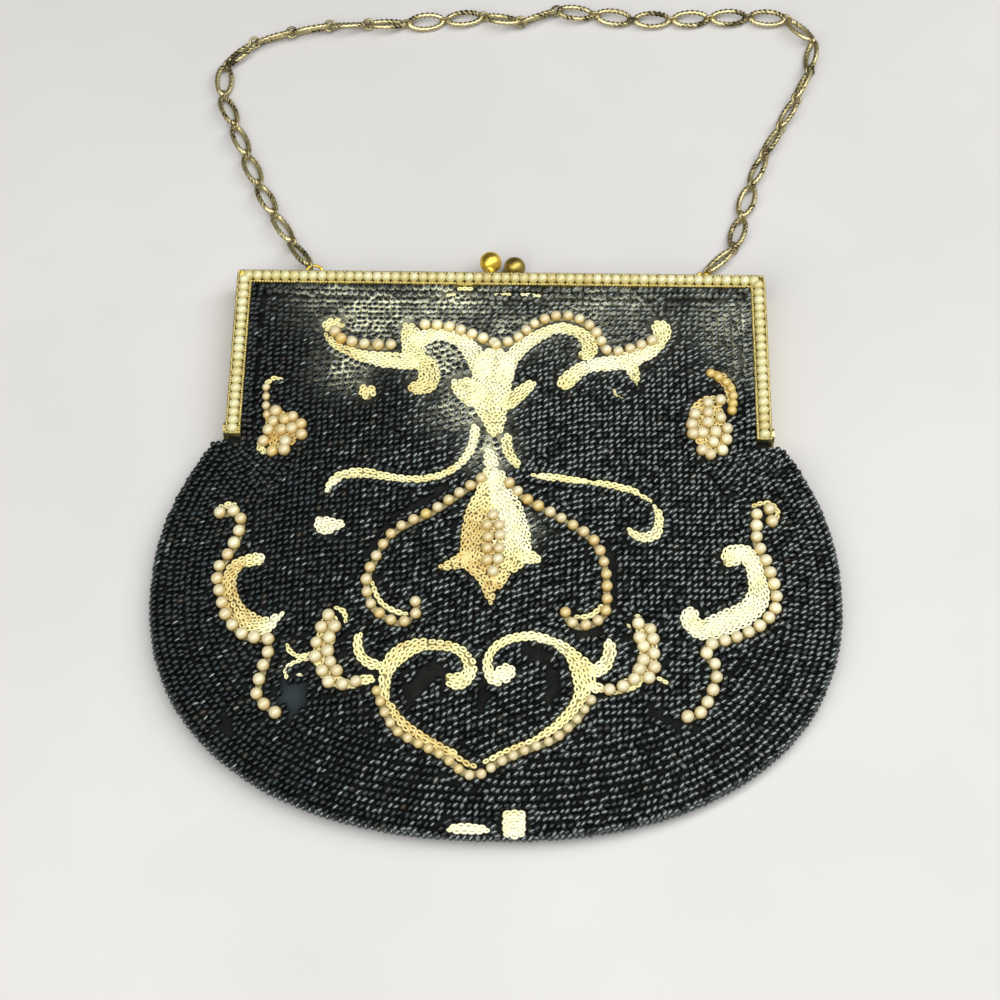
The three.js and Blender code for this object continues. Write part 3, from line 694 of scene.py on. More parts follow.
def front_height(plan):
    """Top of the front's cloth, under its beads."""
    place = ring_place(plan)
    grip = held(plan)
    rim = FRONT_SEAM_Z + grip * (FRONT_HELD_Z - FRONT_SEAM_Z)
    dome = rim + (CROWN_Z - rim) * (1 - np.minimum(place, 1) ** FRONT_FULLNESS)
    roll = FRONT_ROLL * (1 - grip) * np.maximum(place - 1, 0) ** 2
    return dome - FRONT_BEAD_ROOM - roll


def back_height(plan):
    """Underside of the back's cloth, over its beads."""
    place = ring_place(plan)
    grip = held(plan)
    rim = BACK_SEAM_Z + grip * (BACK_HELD_Z - BACK_SEAM_Z)
    roll = BACK_ROLL * (1 - grip) * np.maximum(place - 1, 0) ** 2
    return rim * smooth(place, BACK_FLAT, 1) + BACK_BEAD_ROOM - roll


def cloth_axes(height, plan, way, out=1.0):
    """Places on a cloth, its outward normals, and the directions along and across a row."""
    east, north = (
        (height(plan + step) - height(plan - step)) / (2 * SLOPE_REACH)
        for step in np.eye(2) * SLOPE_REACH)
    normal = unit(np.stack([-east, -north, np.ones(len(plan))], 1) * out)
    along = unit(np.stack([way[:, 0], way[:, 1], east * way[:, 0] + north * way[:, 1]], 1))
    return np.column_stack([plan, height(plan)]), normal, along, np.cross(normal, along)


def on_front(pixels, lift=0.0):
    """Points of the front's plan whose lift over the cloth the photograph shows at these pixels."""
    pixels = np.asarray(pixels, float)
    shift = (pixels - PHOTO_SIZE / 2) / FOCAL
    rays = -BACK + shift[:, :1] * RIGHT - shift[:, 1:] * UP
    height = np.full(len(pixels), CROWN_Z)
    for _ in range(RAY_STEPS):
        hit = EYE + rays * ((height - EYE[2]) / rays[:, 2])[:, None]
        height = front_height(hit[:, :2]) + lift
    return hit[:, :2]


def charted_line(points, lift, step=BAND_STEP):
    """A charted line laid on the front: its plan in even steps, then any other columns."""
    line = curve_through(points)
    return even_steps(np.hstack([on_front(line[:, :2], lift), line[:, 2:]]), step)


def stitched_band(chart):
    """A charted band on the front: plan, width and tone in even steps, its ends rounded off."""
    line = charted_line(chart, PAD_HEIGHT)
    line[:, 2] *= BAND_FULLNESS
    from_start = np.arange(len(line)) * BAND_STEP
    from_end = np.minimum(from_start, from_start[::-1])
    past = np.clip(1 - 2 * from_end / line[:, 2], 0, 1)
    line[:, 2] *= np.sqrt(1 - END_ROUNDNESS * past ** 2)
    return line


def turns(x_axes, y_axes, z_axes):
    """Quaternions of the frames that have these axes."""
    frames = np.stack([x_axes, y_axes, z_axes], 2)
    return np.array([Matrix(axes).to_quaternion() for axes in frames])


# Node trees

def feed(tree, node, inputs):
    """Sets a node's inputs, given as values or as other nodes' outputs."""
    for name, value in inputs.items():
        if isinstance(value, bpy.types.NodeSocket):
            tree.links.new(value, node.inputs[name])
        else:
            node.inputs[name].default_value = value


def add_node(tree, kind, inputs=None, **settings):
    """A node with its settings and its inputs."""
    node = tree.nodes.new(kind)
    for name, value in settings.items():
        setattr(node, name, value)
    feed(tree, node, inputs or {})
    return node


def reckon(tree, operation, first, second=0.0):
    return add_node(tree, "ShaderNodeMath", {0: first, 1: second}, operation=operation).outputs[0]


def mapped(tree, value, start, end, low=0.0, high=1.0):
    """A value that is low at start and high at end."""
    return add_node(tree, "ShaderNodeMapRange", {
        "Value": value, "From Min": start, "From Max": end, "To Min": low, "To Max": high,
    }).outputs[0]


def own_x(tree):
    """The x of each point of a shape."""
    place = add_node(tree, "GeometryNodeInputPosition")
    return add_node(tree, "ShaderNodeSeparateXYZ", {0: place.outputs[0]}).outputs["X"]


def marked(tree, shape, name, value):
    """A shape whose points carry a mark."""
    return add_node(tree, "GeometryNodeStoreNamedAttribute", {
        "Geometry": shape, "Name": name, "Value": value,
    }, data_type="FLOAT", domain="POINT").outputs[0]


def grow_tree(name, sizes):
    """An empty tree that grows a mesh on points, with named inputs for its sizes."""
    tree = bpy.data.node_groups.new(name, "GeometryNodeTree")
    tree.interface.new_socket("Points", in_out="INPUT", socket_type="NodeSocketGeometry")
    for size, kind in sizes.items():
        tree.interface.new_socket(size, in_out="INPUT", socket_type=kind)
    tree.interface.new_socket("Finish", in_out="INPUT", socket_type="NodeSocketMaterial")
    tree.interface.new_socket("Mesh", in_out="OUTPUT", socket_type="NodeSocketGeometry")
    return tree, tree.nodes.new("NodeGroupInput").outputs


def sow(tree, given, shape):
    """Ends a tree: the shape on every point, turned and scaled by its marks, as one mesh."""
    turn = add_node(tree, "GeometryNodeInputNamedAttribute", {"Name": "turn"}, data_type="QUATERNION")
    swell = add_node(tree, "GeometryNodeInputNamedAttribute", {"Name": "swell"}, data_type="FLOAT")
    spread = add_node(tree, "GeometryNodeInstanceOnPoints", {
        "Points": given["Points"], "Instance": shape,
        "Rotation": turn.outputs["Attribute"], "Scale": swell.outputs["Attribute"],
    })
    real = add_node(tree, "GeometryNodeRealizeInstances", {0: spread.outputs[0]})
    soft = add_node(tree, "GeometryNodeSetShadeSmooth", {0: real.outputs[0]})
    dressed = add_node(tree, "GeometryNodeSetMaterial", {
        "Geometry": soft.outputs[0], "Material": given["Finish"],
    })
    add_node(tree, "NodeGroupOutput", {0: dressed.outputs[0]})
    return tree


def bead_tree():
    """Round beads, pressed along their thread, the point's own z; crown is 1 at the top, +x."""
    tree, given = grow_tree("strung_beads", {
        "Diameter": "NodeSocketFloat", "Length": "NodeSocketFloat",
        "Sides": "NodeSocketInt", "Rings": "NodeSocketInt",
    })
    ball = add_node(tree, "GeometryNodeMeshUVSphere", {
        "Segments": given["Sides"], "Rings": given["Rings"], "Radius": 0.5,
    })
    size = add_node(tree, "ShaderNodeCombineXYZ", {
        "X": given["Diameter"], "Y": given["Diameter"], "Z": given["Length"],
    })
    crown = reckon(tree, "MULTIPLY", own_x(tree), 2.0)
    bead = add_node(tree, "GeometryNodeTransform", {
        "Geometry": marked(tree, ball.outputs["Mesh"], "crown", crown), "Scale": size.outputs[0],
    })
    return sow(tree, given, bead.outputs[0])


def strand_section(tree, ridges, outer):
    """Section of a strand: ridges stand out of it, and the mark ridge is 1 on them."""
    star = add_node(tree, "GeometryNodeCurveStar", {
        "Points": ridges, "Inner Radius": reckon(tree, "MULTIPLY", outer, STRAND_CORE),
        "Outer Radius": outer, "Twist": 0.0,
    })
    return marked(tree, star.outputs["Curve"], "ridge", star.outputs["Outer Points"])


def thin_ends(tree, path, half_length):
    """An oval path whose wire thins towards its ends."""
    share = reckon(tree, "DIVIDE", reckon(tree, "ABSOLUTE", own_x(tree)), half_length)
    return add_node(tree, "GeometryNodeSetCurveRadius", {
        "Curve": path, "Radius": mapped(tree, share, THIN_FROM, 1.0, 1.0, LINK_END_SHARE),
    }).outputs[0]


def wire_ring_tree(name, stranded):
    """Oval rings of wire in the point's own xy plane, long along x, the wire twisted on itself."""
    tree, given = grow_tree(name, {
        "Length": "NodeSocketFloat", "Width": "NodeSocketFloat", "Wire": "NodeSocketFloat",
        "Steps": "NodeSocketInt", "Sides": "NodeSocketInt", "Twist": "NodeSocketFloat",
    })
    half_length, half_width = (
        reckon(tree, "MULTIPLY", reckon(tree, "SUBTRACT", given[size], given["Wire"]), 0.5)
        for size in ("Length", "Width"))
    half_wire = reckon(tree, "MULTIPLY", given["Wire"], 0.5)
    loop = add_node(tree, "GeometryNodeCurvePrimitiveCircle", {
        "Resolution": given["Steps"], "Radius": 1.0,
    })
    shape = add_node(tree, "ShaderNodeCombineXYZ", {"X": half_length, "Y": half_width, "Z": 1.0})
    drawn = add_node(tree, "GeometryNodeTransform", {
        "Geometry": loop.outputs["Curve"], "Scale": shape.outputs[0],
    })
    index = add_node(tree, "GeometryNodeInputIndex")
    path = add_node(tree, "GeometryNodeSetCurveTilt", {
        "Curve": drawn.outputs[0], "Tilt": reckon(tree, "MULTIPLY", index.outputs[0], given["Twist"]),
    }).outputs[0]
    if stranded:
        path = thin_ends(tree, path, half_length)
        section = strand_section(tree, given["Sides"], half_wire)
    else:
        section = add_node(tree, "GeometryNodeCurvePrimitiveCircle", {
            "Resolution": given["Sides"], "Radius": half_wire,
        }).outputs["Curve"]
    ring = add_node(tree, "GeometryNodeCurveToMesh", {"Curve": path, "Profile Curve": section})
    return sow(tree, given, ring.outputs[0])


def bead_sizes(diameter, length, facets):
    sides, rings = facets
    return {"Diameter": diameter * MM, "Length": length * MM, "Sides": sides, "Rings": rings}


def ring_sizes(length, width, wire, facets, twist=0.0):
    steps, sides = facets
    return {
        "Length": length * MM, "Width": width * MM, "Wire": wire * MM,
        "Steps": steps, "Sides": sides, "Twist": twist,
    }


PLAIN_MARK = ("FLOAT", "value")
OTHER_MARKS = {"turn": ("QUATERNION", "value"), "sweep": ("FLOAT_VECTOR", "vector")}


def new_object(name, data):
    made = bpy.data.objects.new(name, data)
    bpy.context.collection.objects.link(made)
    return made


def marked_mesh(name, places, faces, marks):
    """A mesh from places in millimetres of the purse, with the marks of its points."""
    mesh = bpy.data.meshes.new(name)
    mesh.from_pydata([tuple(place) for place in on_floor(places)], [], faces)
    for label, values in marks.items():
        kind, field = OTHER_MARKS.get(label, PLAIN_MARK)
        layer = mesh.attributes.new(label, kind, "POINT")
        layer.data.foreach_set(field, np.asarray(values, np.float32).ravel())
    return mesh


def grown(name, tree, places, marks, sizes, finish):
    """A plain mesh that a tree grows on places of the purse, each with its marks."""
    piece = new_object(name, marked_mesh(name, places, [], marks))
    grower = piece.modifiers.new("grow", "NODES")
    grower.node_group = tree
    given = {**sizes, "Finish": finish}
    for socket in tree.interface.items_tree:
        if socket.in_out == "INPUT" and socket.name in given:
            grower[socket.identifier] = given[socket.name]
    bpy.context.view_layer.update()
    seen = bpy.context.evaluated_depsgraph_get()
    mesh = bpy.data.meshes.new_from_object(
        piece.evaluated_get(seen), preserve_all_data_layers=True, depsgraph=seen)
    piece.modifiers.clear()
    piece.data = mesh
    mesh.name = name
    return piece


def mesh_piece(name, places, faces, finish, marks=None):
    """A smooth-shaded piece from vertices in millimetres of the purse and faces."""
    mesh = marked_mesh(name, places, faces, marks or {})
    mesh.polygons.foreach_set("use_smooth", np.ones(len(mesh.polygons), bool))
    mesh.materials.append(finish)
    return new_object(name, mesh)


# Finishes

def mottle_group():
    """Uneven value over a surface, between two limits."""
    group = bpy.data.node_groups.new("mottle", "ShaderNodeTree")
    for name, value in (("Scale", 200.0), ("Low", 0.0), ("High", 1.0)):
        socket = group.interface.new_socket(name, in_out="INPUT", socket_type="NodeSocketFloat")
        socket.default_value = value
    group.interface.new_socket("Value", in_out="OUTPUT", socket_type="NodeSocketFloat")
    given = group.nodes.new("NodeGroupInput").outputs
    place = add_node(group, "ShaderNodeTexCoord")
    noise = add_node(group, "ShaderNodeTexNoise", {
        "Vector": place.outputs["Object"], "Scale": given["Scale"], "Detail": 4.0, "Roughness": 0.6,
    })
    spread = mapped(group, noise.outputs[0], 0.34, 0.66, given["Low"], given["High"])
    add_node(group, "NodeGroupOutput", {"Value": spread})
    return group


MOTTLE = mottle_group()


def new_finish(name):
    """A material with its tree and its shader."""
    finish = bpy.data.materials.new(name)
    finish.use_nodes = True
    return finish, finish.node_tree, finish.node_tree.nodes["Principled BSDF"]


def mottle(tree, scale, low, high):
    return add_node(
        tree, "ShaderNodeGroup", {"Scale": scale, "Low": low, "High": high}, node_tree=MOTTLE,
    ).outputs["Value"]


def mark(tree, name):
    return add_node(tree, "ShaderNodeAttribute", attribute_name=name).outputs["Fac"]


def ramp(tree, value, stops):
    """Colour that follows a value: stops are (place, colour)."""
    node = add_node(tree, "ShaderNodeValToRGB", {"Fac": value})
    elements = node.color_ramp.elements
    while len(elements) < len(stops):
        elements.new(1.0)
    for element, (place, colour) in zip(elements, stops):
        element.position = place
        element.color = (*colour, 1.0)
    return node.outputs["Color"]


def blend(tree, share, under, colour, mode="MIX"):
    """One colour laid over what is under it, by its share."""
    return add_node(
        tree, "ShaderNodeMix", {0: share, 6: under, 7: (*colour, 1.0)}, data_type="RGBA", blend_type=mode,
    ).outputs[2]


def bump(tree, shader, height, depth):
    """Relief of a given depth in millimetres."""
    node = add_node(tree, "ShaderNodeBump", {"Height": height, "Distance": depth * MM, "Strength": 1.0})
    feed(tree, shader, {"Normal": node.outputs["Normal"]})


def seed_bead_finish(name, gloss):
    """Black glass with dust and painted sheen on its flanks, low down; the mark sweep is the way in which
    its glint is drawn out.
    """
    finish, tree, shader = new_finish(name)
    glass = ramp(tree, mark(tree, "tone"), [
        (0.0, (0.003, 0.003, 0.004)), (0.55, (0.005, 0.007, 0.007)),
        (0.9, (0.010, 0.014, 0.016)), (1.0, (0.020, 0.015, 0.010)),
    ])
    # Partly dust, partly painted sheen: the pale colour lies on the flanks, away from the crown, as bright
    # rims that stand for reflections.
    low_down = mapped(tree, mark(tree, "crown"), 0.66, 0.14)
    dust_and_sheen_mask = reckon(tree, "MULTIPLY", mark(tree, "dust_and_sheen"), low_down)
    dust_and_sheen = reckon(tree, "MULTIPLY", dust_and_sheen_mask, mottle(tree, 260, 0.3, 2.8))
    rough = reckon(tree, "ADD", mottle(tree, 420, 0.31, 0.41), reckon(tree, "MULTIPLY", dust_and_sheen, 0.12))
    sweep = add_node(tree, "ShaderNodeAttribute", attribute_name="sweep")
    feed(tree, shader, {
        "Base Color": blend(tree, dust_and_sheen, glass, (0.86, 0.86, 0.64)), "Roughness": rough,
        "Specular IOR Level": gloss, "IOR": 2.1, "Specular Tint": (0.9, 1.0, 0.95, 1.0),
        "Anisotropic": 1.0, "Tangent": sweep.outputs["Vector"],
    })
    bump(tree, shader, mottle(tree, 1500, 0, 1), 0.02)
    return finish


def cloth_finish():
    finish, tree, shader = new_finish("black_bead_cloth")
    felt = ramp(tree, mottle(tree, 300, 0, 1), [
        (0.0, (0.003, 0.003, 0.002)), (0.6, (0.006, 0.007, 0.005)), (1.0, (0.012, 0.013, 0.010)),
    ])
    faded = blend(tree, mark(tree, "fade"), felt, (0.026, 0.038, 0.043))
    # On the cloth the same mark is drawn as dust alone.
    dust_and_sheen_mask = reckon(tree, "MULTIPLY", mark(tree, "dust_and_sheen"), mottle(tree, 230, 0.1, 1.0))
    place = add_node(tree, "ShaderNodeTexCoord")
    weave = 0
    for direction in ("X", "Y"):
        threads = add_node(tree, "ShaderNodeTexWave", {
            "Vector": place.outputs["Object"], "Scale": 620.0, "Distortion": 1.2, "Detail": 1.0,
        }, bands_direction=direction)
        weave = reckon(tree, "ADD", threads.outputs["Fac"], weave)
    bump(tree, shader, weave, 0.12)
    feed(tree, shader, {
        "Base Color": blend(tree, dust_and_sheen_mask, faded, (0.80, 0.80, 0.60)), "Roughness": 0.9,
        "Specular IOR Level": 0.2, "Sheen Weight": 0.04,
    })
    return finish


def thread_finish():
    finish, tree, shader = new_finish("silk_chain_stitch")
    tone = reckon(tree, "ADD", mark(tree, "tone"), mottle(tree, 260, -0.14, 0.14))
    silk = ramp(tree, tone, [
        (0.0, (0.61, 0.40, 0.09)), (0.25, (0.80, 0.67, 0.27)), (0.5, (0.88, 0.83, 0.39)),
        (0.75, (0.95, 0.93, 0.53)), (1.0, (0.98, 0.98, 0.72)),
    ])
    fibres = blend(tree, mottle(tree, 3200, 0.0, 0.25), silk, (0.55, 0.42, 0.2), "MULTIPLY")
    feed(tree, shader, {
        "Base Color": fibres, "Roughness": mottle(tree, 900, 0.45, 0.7), "Sheen Weight": 0.25,
    })
    bump(tree, shader, mottle(tree, 4200, 0, 1), 0.06)
    return finish


def pad_finish():
    """The ground under the loops, which shows in their eyes; its colour, darker than the silk, is partly
    its own and partly painted shade in the eyes.
    """
    finish, tree, shader = new_finish("stitch_ground")
    ground = ramp(tree, mark(tree, "tone"), [
        (0.0, (0.12, 0.06, 0.01)), (0.3, (0.18, 0.12, 0.03)), (0.6, (0.32, 0.27, 0.10)),
        (0.8, (0.58, 0.54, 0.32)), (1.0, (0.80, 0.78, 0.55)),
    ])
    shade = blend(tree, mottle(tree, 1300, 0.0, 0.5), ground, (0.25, 0.2, 0.12), "MULTIPLY")
    feed(tree, shader, {"Base Color": shade, "Roughness": 0.85})
    bump(tree, shader, mottle(tree, 2400, 0, 1), 0.1)
    return finish


def pearl_finish(name, stops, painted_shade_tint, rough):
    """Pearl with stained patches; a painted shade tints and darkens it low down, on its sides away from
    the crown.
    """
    finish, tree, shader = new_finish(name)
    tone = reckon(tree, "ADD", mark(tree, "tone"), mottle(tree, 420, -0.1, 0.1))
    nacre = ramp(tree, tone, stops)
    stain = blend(tree, mottle(tree, 240, -0.4, 0.4), nacre, (0.92, 0.78, 0.55), "MULTIPLY")
    # Painted shade: the tint darkens the pearl towards its lower sides.
    low_down = mapped(tree, mark(tree, "crown"), 0.7, 0.1)
    feed(tree, shader, {
        "Base Color": blend(tree, low_down, stain, painted_shade_tint, "MULTIPLY"),
        "Roughness": mottle(tree, 700, rough * 0.7, rough * 1.4),
        "Coat Weight": 0.35, "Coat Roughness": 0.12, "IOR": 1.6,
    })
    bump(tree, shader, mottle(tree, 900, 0, 1), 0.05)
    return finish


def metal_finish(name, bright, dull, dark, wear, rough, painted_groove_shade=0.0):
    """Metal with worn and darkened places: wear is how much of it is dull; the last argument is painted
    shade, how much darker and duller the wire is made between its ridges.
    """
    finish, tree, shader = new_finish(name)
    patches = reckon(tree, "ADD", mottle(tree, 190, -0.5, 0.9), wear)
    state = reckon(tree, "ADD", patches, mottle(tree, 1500, -0.2, 0.2))
    if painted_groove_shade:
        # Painted shade between the ridges of stranded wire.
        state = reckon(tree, "ADD", state, mapped(tree, mark(tree, "ridge"), 1.0, 0.0, 0.0, painted_groove_shade))
    feed(tree, shader, {
        "Base Color": ramp(tree, state, [(0.0, bright), (0.45, bright), (0.75, dull), (1.0, dark)]),
        "Metallic": 1.0, "Roughness": mapped(tree, state, 0.0, 1.0, rough, min(rough + 0.35, 0.9)),
    })
    bump(tree, shader, mottle(tree, 1100, 0, 1), 0.035)
    return finish


# Bright and dull copies of the same glass; where the dull one crowds the left it is painted shade.
BRIGHT_BEADS = seed_bead_finish("bright_black_glass", 0.61)
DULL_BEADS = seed_bead_finish("dull_black_glass", 0.15)
BLACK_CLOTH = cloth_finish()
SILK = thread_finish()
STITCH_GROUND = pad_finish()
# Each pearl finish takes its colour stops, the tint of its painted shade low down, and its roughness.
MOTIF_PEARL = pearl_finish("motif_pearls", [
    (0.0, (0.58, 0.44, 0.13)), (0.35, (0.58, 0.48, 0.26)), (0.65, (0.62, 0.56, 0.36)),
    (1.0, (0.76, 0.72, 0.48)),
], (0.86, 0.70, 0.36), 0.3)
# The frame pearls also get a painted shade tint on their lower sides.
TRIM_PEARL = pearl_finish("trim_pearls", [
    (0.0, (0.44, 0.31, 0.10)), (0.35, (0.54, 0.46, 0.19)), (0.7, (0.60, 0.57, 0.28)),
    (1.0, (0.66, 0.64, 0.40)),
], (0.95, 0.86, 0.55), 0.3)
GILT = metal_finish(
    "worn_gilt", (0.80, 0.68, 0.30), (0.55, 0.44, 0.17), (0.30, 0.22, 0.08), -0.12, 0.3)
BRIGHT_GILT = metal_finish(
    "bright_gilt", (0.88, 0.64, 0.10), (0.68, 0.46, 0.07), (0.28, 0.16, 0.03), -0.2, 0.36)
DULL_GILT = metal_finish(
    "dull_gilt", (0.38, 0.29, 0.07), (0.26, 0.20, 0.05), (0.10, 0.07, 0.02), 0.1, 0.4)
CHAIN_BRASS = metal_finish(
    "dark_brass", (0.42, 0.36, 0.19), (0.21, 0.18, 0.10), (0.07, 0.06, 0.04), 0.14, 0.34)
# The stranded brass is painted darker in its grooves, as painted shade.
STRAND_BRASS = metal_finish(
    "stranded_brass", (0.68, 0.60, 0.33), (0.32, 0.27, 0.13), (0.06, 0.05, 0.03), -0.12, 0.34, 0.68)

BEADS = bead_tree()
WIRE_RINGS = wire_ring_tree("wire_rings", False)
STRAND_RINGS = wire_ring_tree("strand_rings", True)


# The motif, laid on the front

BANDS = [stitched_band(chart) for chart in STITCHED.values()]


def strung_pearls(count, chart):
    line = charted_line(chart, PEARL_SEAT, STRING_STEP)
    stops = np.linspace(0, len(line) - 1, count).round().astype(int)
    return line[stops]


def pearl_bed(chart):
    """The gold thread under a string of pearls: plan, width and tone."""
    line = charted_line(chart, PEARL_SEAT)
    return np.column_stack([line, np.full(len(line), BED_WIDTH), np.full(len(line), BED_TONE)])


BEDS = [pearl_bed(chart) for _, _, _, chart in PEARL_STRINGS.values()]
PEARLS = [
    (strung_pearls(count, chart), tone, size)
    for count, tone, size, chart in PEARL_STRINGS.values()
] + [(on_front(chart, PEARL_SEAT), tone, size) for tone, size, chart in PEARL_CLUSTERS.values()]
PEARL_PLAN = np.vstack([plan for plan, _, _ in PEARLS])
PEARL_TONE = np.concatenate([np.full(len(plan), tone) for plan, tone, _ in PEARLS])
PEARL_SIZE = np.concatenate([np.full(len(plan), size) for plan, _, size in PEARLS])
BARE = [(charted_line(chart, 0.0), width) for width, chart in BARE_PLACES.values()]

GRID_STEP = 0.25
GRID_LOW = np.array([-97.0, -180.0])
GRID_SIZE = (724, 780)
GRID_REACH = 3
GRID_FAR = 9.0


def clearance(discs):
    """Distance from every point of a grid to the edge of the nearest disc, x, y and radius."""
    field = np.full(GRID_SIZE, GRID_FAR)
    y_lines = GRID_LOW[1] + np.arange(GRID_SIZE[0]) * GRID_STEP
    x_lines = GRID_LOW[0] + np.arange(GRID_SIZE[1]) * GRID_STEP
    for x, y, radius in discs:
        reach = radius + GRID_REACH
        columns = slice(*np.searchsorted(x_lines, (x - reach, x + reach)))
        rows = slice(*np.searchsorted(y_lines, (y - reach, y + reach)))
        away = np.hypot(x_lines[None, columns] - x, y_lines[rows, None] - y) - radius
        field[rows, columns] = np.minimum(field[rows, columns], away)
    return field


def at_grid(field, plan):
    column, row = np.clip(((plan - GRID_LOW) / GRID_STEP).round().astype(int).T,
                          0, np.array([[GRID_SIZE[1]], [GRID_SIZE[0]]]) - 1)
    return field[row, column]


MOTIF_DISCS = np.vstack([
    *[np.column_stack([line[:, :2], line[:, 2] / 2]) for line in BANDS],
    np.column_stack([PEARL_PLAN, PEARL_SIZE * PEARL_DIAMETER / 2]),
])
MOTIF_FIELD = clearance(MOTIF_DISCS)
BARE_FIELD = clearance(np.vstack([
    np.column_stack([line, np.full(len(line), width / 2)]) for line, width in BARE]))


def dust_and_sheen_at(plan):
    """How much dust, and on the beads painted sheen, the front has at points of its plan."""
    centres = on_front([(x, y) for x, y, _, _ in DUST_AND_SHEEN])
    total = np.zeros(len(plan))
    for centre, (_, _, reach, strength) in zip(centres, DUST_AND_SHEEN):
        away = (plan - centre) / (reach * DUST_AND_SHEEN_SCALE)
        total = np.maximum(total, strength * np.exp(-0.5 * np.sum(away * away, 1)))
    return total


def fade_at(plan):
    """Bluish bare felt at the worn hole on the left."""
    away = (plan - on_front([FADED_PIXEL])) / FADED_REACH
    return np.exp(-0.5 * np.sum(away * away, 1))


def nowhere(plan):
    return np.zeros(len(plan))


# Cloth

def cloth_wall(name, height, thick, marks):
    """A wall of cloth over the whole pouch, from its middle to its rim, thick mm deep."""
    angles = np.linspace(0, 2 * math.pi, CLOTH_RAYS, endpoint=False)
    reach = ring_reach(rim_reach(angles)[None, :], CLOTH_RINGS[:, None])
    plan = POUCH_CENTRE + np.stack([reach * np.cos(angles), reach * np.sin(angles)], 2)
    plan = np.vstack([POUCH_CENTRE[None], plan.reshape(-1, 2)])
    outside = np.column_stack([plan, height(plan)])
    inside = outside - (0, 0, thick)
    count = len(plan)
    last = 1 + (len(CLOTH_RINGS) - 1) * CLOTH_RAYS
    faces = []
    edge = []
    for ray in range(CLOTH_RAYS):
        after = (ray + 1) % CLOTH_RAYS
        faces.append((0, 1 + ray, 1 + after))
        for low in range(1, last, CLOTH_RAYS):
            high = low + CLOTH_RAYS
            faces.append((low + ray, high + ray, high + after, low + after))
        edge.append((last + after, last + ray, count + last + ray, count + last + after))
    under = [tuple(count + corner for corner in face[::-1]) for face in faces]
    all_faces = faces + under + edge
    if thick < 0:
        all_faces = [face[::-1] for face in all_faces]
    both = {label: np.tile(values(plan), 2) for label, values in marks.items()}
    return mesh_piece(name, np.vstack([outside, inside]), all_faces, BLACK_CLOTH, both)


front_cloth = cloth_wall("front_cloth", front_height, CLOTH_THICK, {"dust_and_sheen": dust_and_sheen_at, "fade": fade_at})
back_cloth = cloth_wall("back_cloth", back_height, -CLOTH_THICK, {"dust_and_sheen": nowhere, "fade": nowhere})


# Seed beads

class BeadField:
    """Beads laid so far on one side, none closer together than they can lie."""

    def __init__(self):
        self.cells = {}
        self.plan = []
        self.way = []

    def lay(self, plan, way, closest=CLOSEST_BEADS):
        for (x, y), direction in zip(plan, way):
            column = math.floor(x / CELL)
            row = math.floor(y / CELL)
            near = [
                other
                for i in (column - 1, column, column + 1)
                for j in (row - 1, row, row + 1)
                for other in self.cells.get((i, j), ())
            ]
            if all((x - a) ** 2 + (y - b) ** 2 >= closest ** 2 for a, b in near):
                self.cells.setdefault((column, row), []).append((x, y))
                self.plan.append((x, y))
                self.way.append(direction)


def kept_runs(line, kept):
    """The runs of a line that are kept."""
    edges = np.flatnonzero(np.diff(kept.astype(int))) + 1
    return [run for run, keep in zip(np.split(line, edges), np.split(kept, edges)) if keep[0]]


def inset_runs(distance):
    """Runs of the line that lies a distance inside the pouch's rim."""
    way = unit(np.roll(RIM, -1, 0) - np.roll(RIM, 1, 0))
    line = RIM - left_of(way) * distance
    nearest = np.min(np.linalg.norm(line[:, None] - RIM[None, ::2], axis=2), axis=1)
    kept = nearest > distance - INSET_SLACK
    if kept.all():
        return [np.vstack([line, line[:1]])]
    start = int(np.argmin(kept))
    runs = kept_runs(np.roll(line, -start, 0), np.roll(kept, -start))
    return [run for run in runs if len(run) > SHORTEST_RUN]


def bead_line(line):
    stops = even_steps(line, BEAD_PITCH)
    return stops, ways(stops)


def frame_line(inset, foot):
    """A line round the frame's face, a distance in from its outer edge."""
    side = FRAME_HALF - inset
    return np.array([(-side, foot), (-side, -inset), (side, -inset), (side, foot)])


def crowded_lift(plan):
    """How much higher the beads stand where they crowd against the frame."""
    inside = np.minimum(FRAME_HALF - np.abs(plan[:, 0]), -plan[:, 1]) - FRAME_FACE
    near = 1 - smooth(inside, 0.0, FRAME_LIFT_REACH)
    return FRAME_LIFT * near * smooth(plan[:, 1], FRAME_FOOT, FRAME_FOOT + FRAME_LIFT_REACH)


def in_frame_opening(plan):
    """True where beads show: inside the frame's edge, or below its arms."""
    room = FRAME_FACE + OPENING_ROOM
    beside = (np.abs(plan[:, 0]) < FRAME_HALF - room) & (plan[:, 1] < -room)
    return beside | (plan[:, 1] < FRAME_FOOT - BELOW_ARMS)


def edge_loops():
    """Lines of beads that follow the edges of the motif."""
    loops = []
    fan = np.linspace(0, math.pi, EDGE_FAN)[1:-1, None]
    for line in BANDS:
        way = ways(line)
        left = left_of(way)
        reach = (line[:, 2] / 2 + EDGE_ROW)[:, None]
        ends = []
        for at, ahead, side in ((-1, way[-1], -left[-1]), (0, -way[0], left[0])):
            ends.append(line[at, :2] + reach[at] * (np.sin(fan) * ahead - np.cos(fan) * side))
        right_side = line[:, :2] - left * reach
        left_side = line[:, :2] + left * reach
        loops.append(np.vstack([left_side, ends[0], right_side[::-1], ends[1], left_side[:1]]))
    turn = np.linspace(0, 2 * math.pi, EDGE_TURN)[:, None]
    for centre, size in zip(PEARL_PLAN, PEARL_SIZE):
        reach = size * PEARL_DIAMETER / 2 + EDGE_ROW
        loops.append(centre + reach * np.hstack([np.cos(turn), np.sin(turn)]))
    return loops


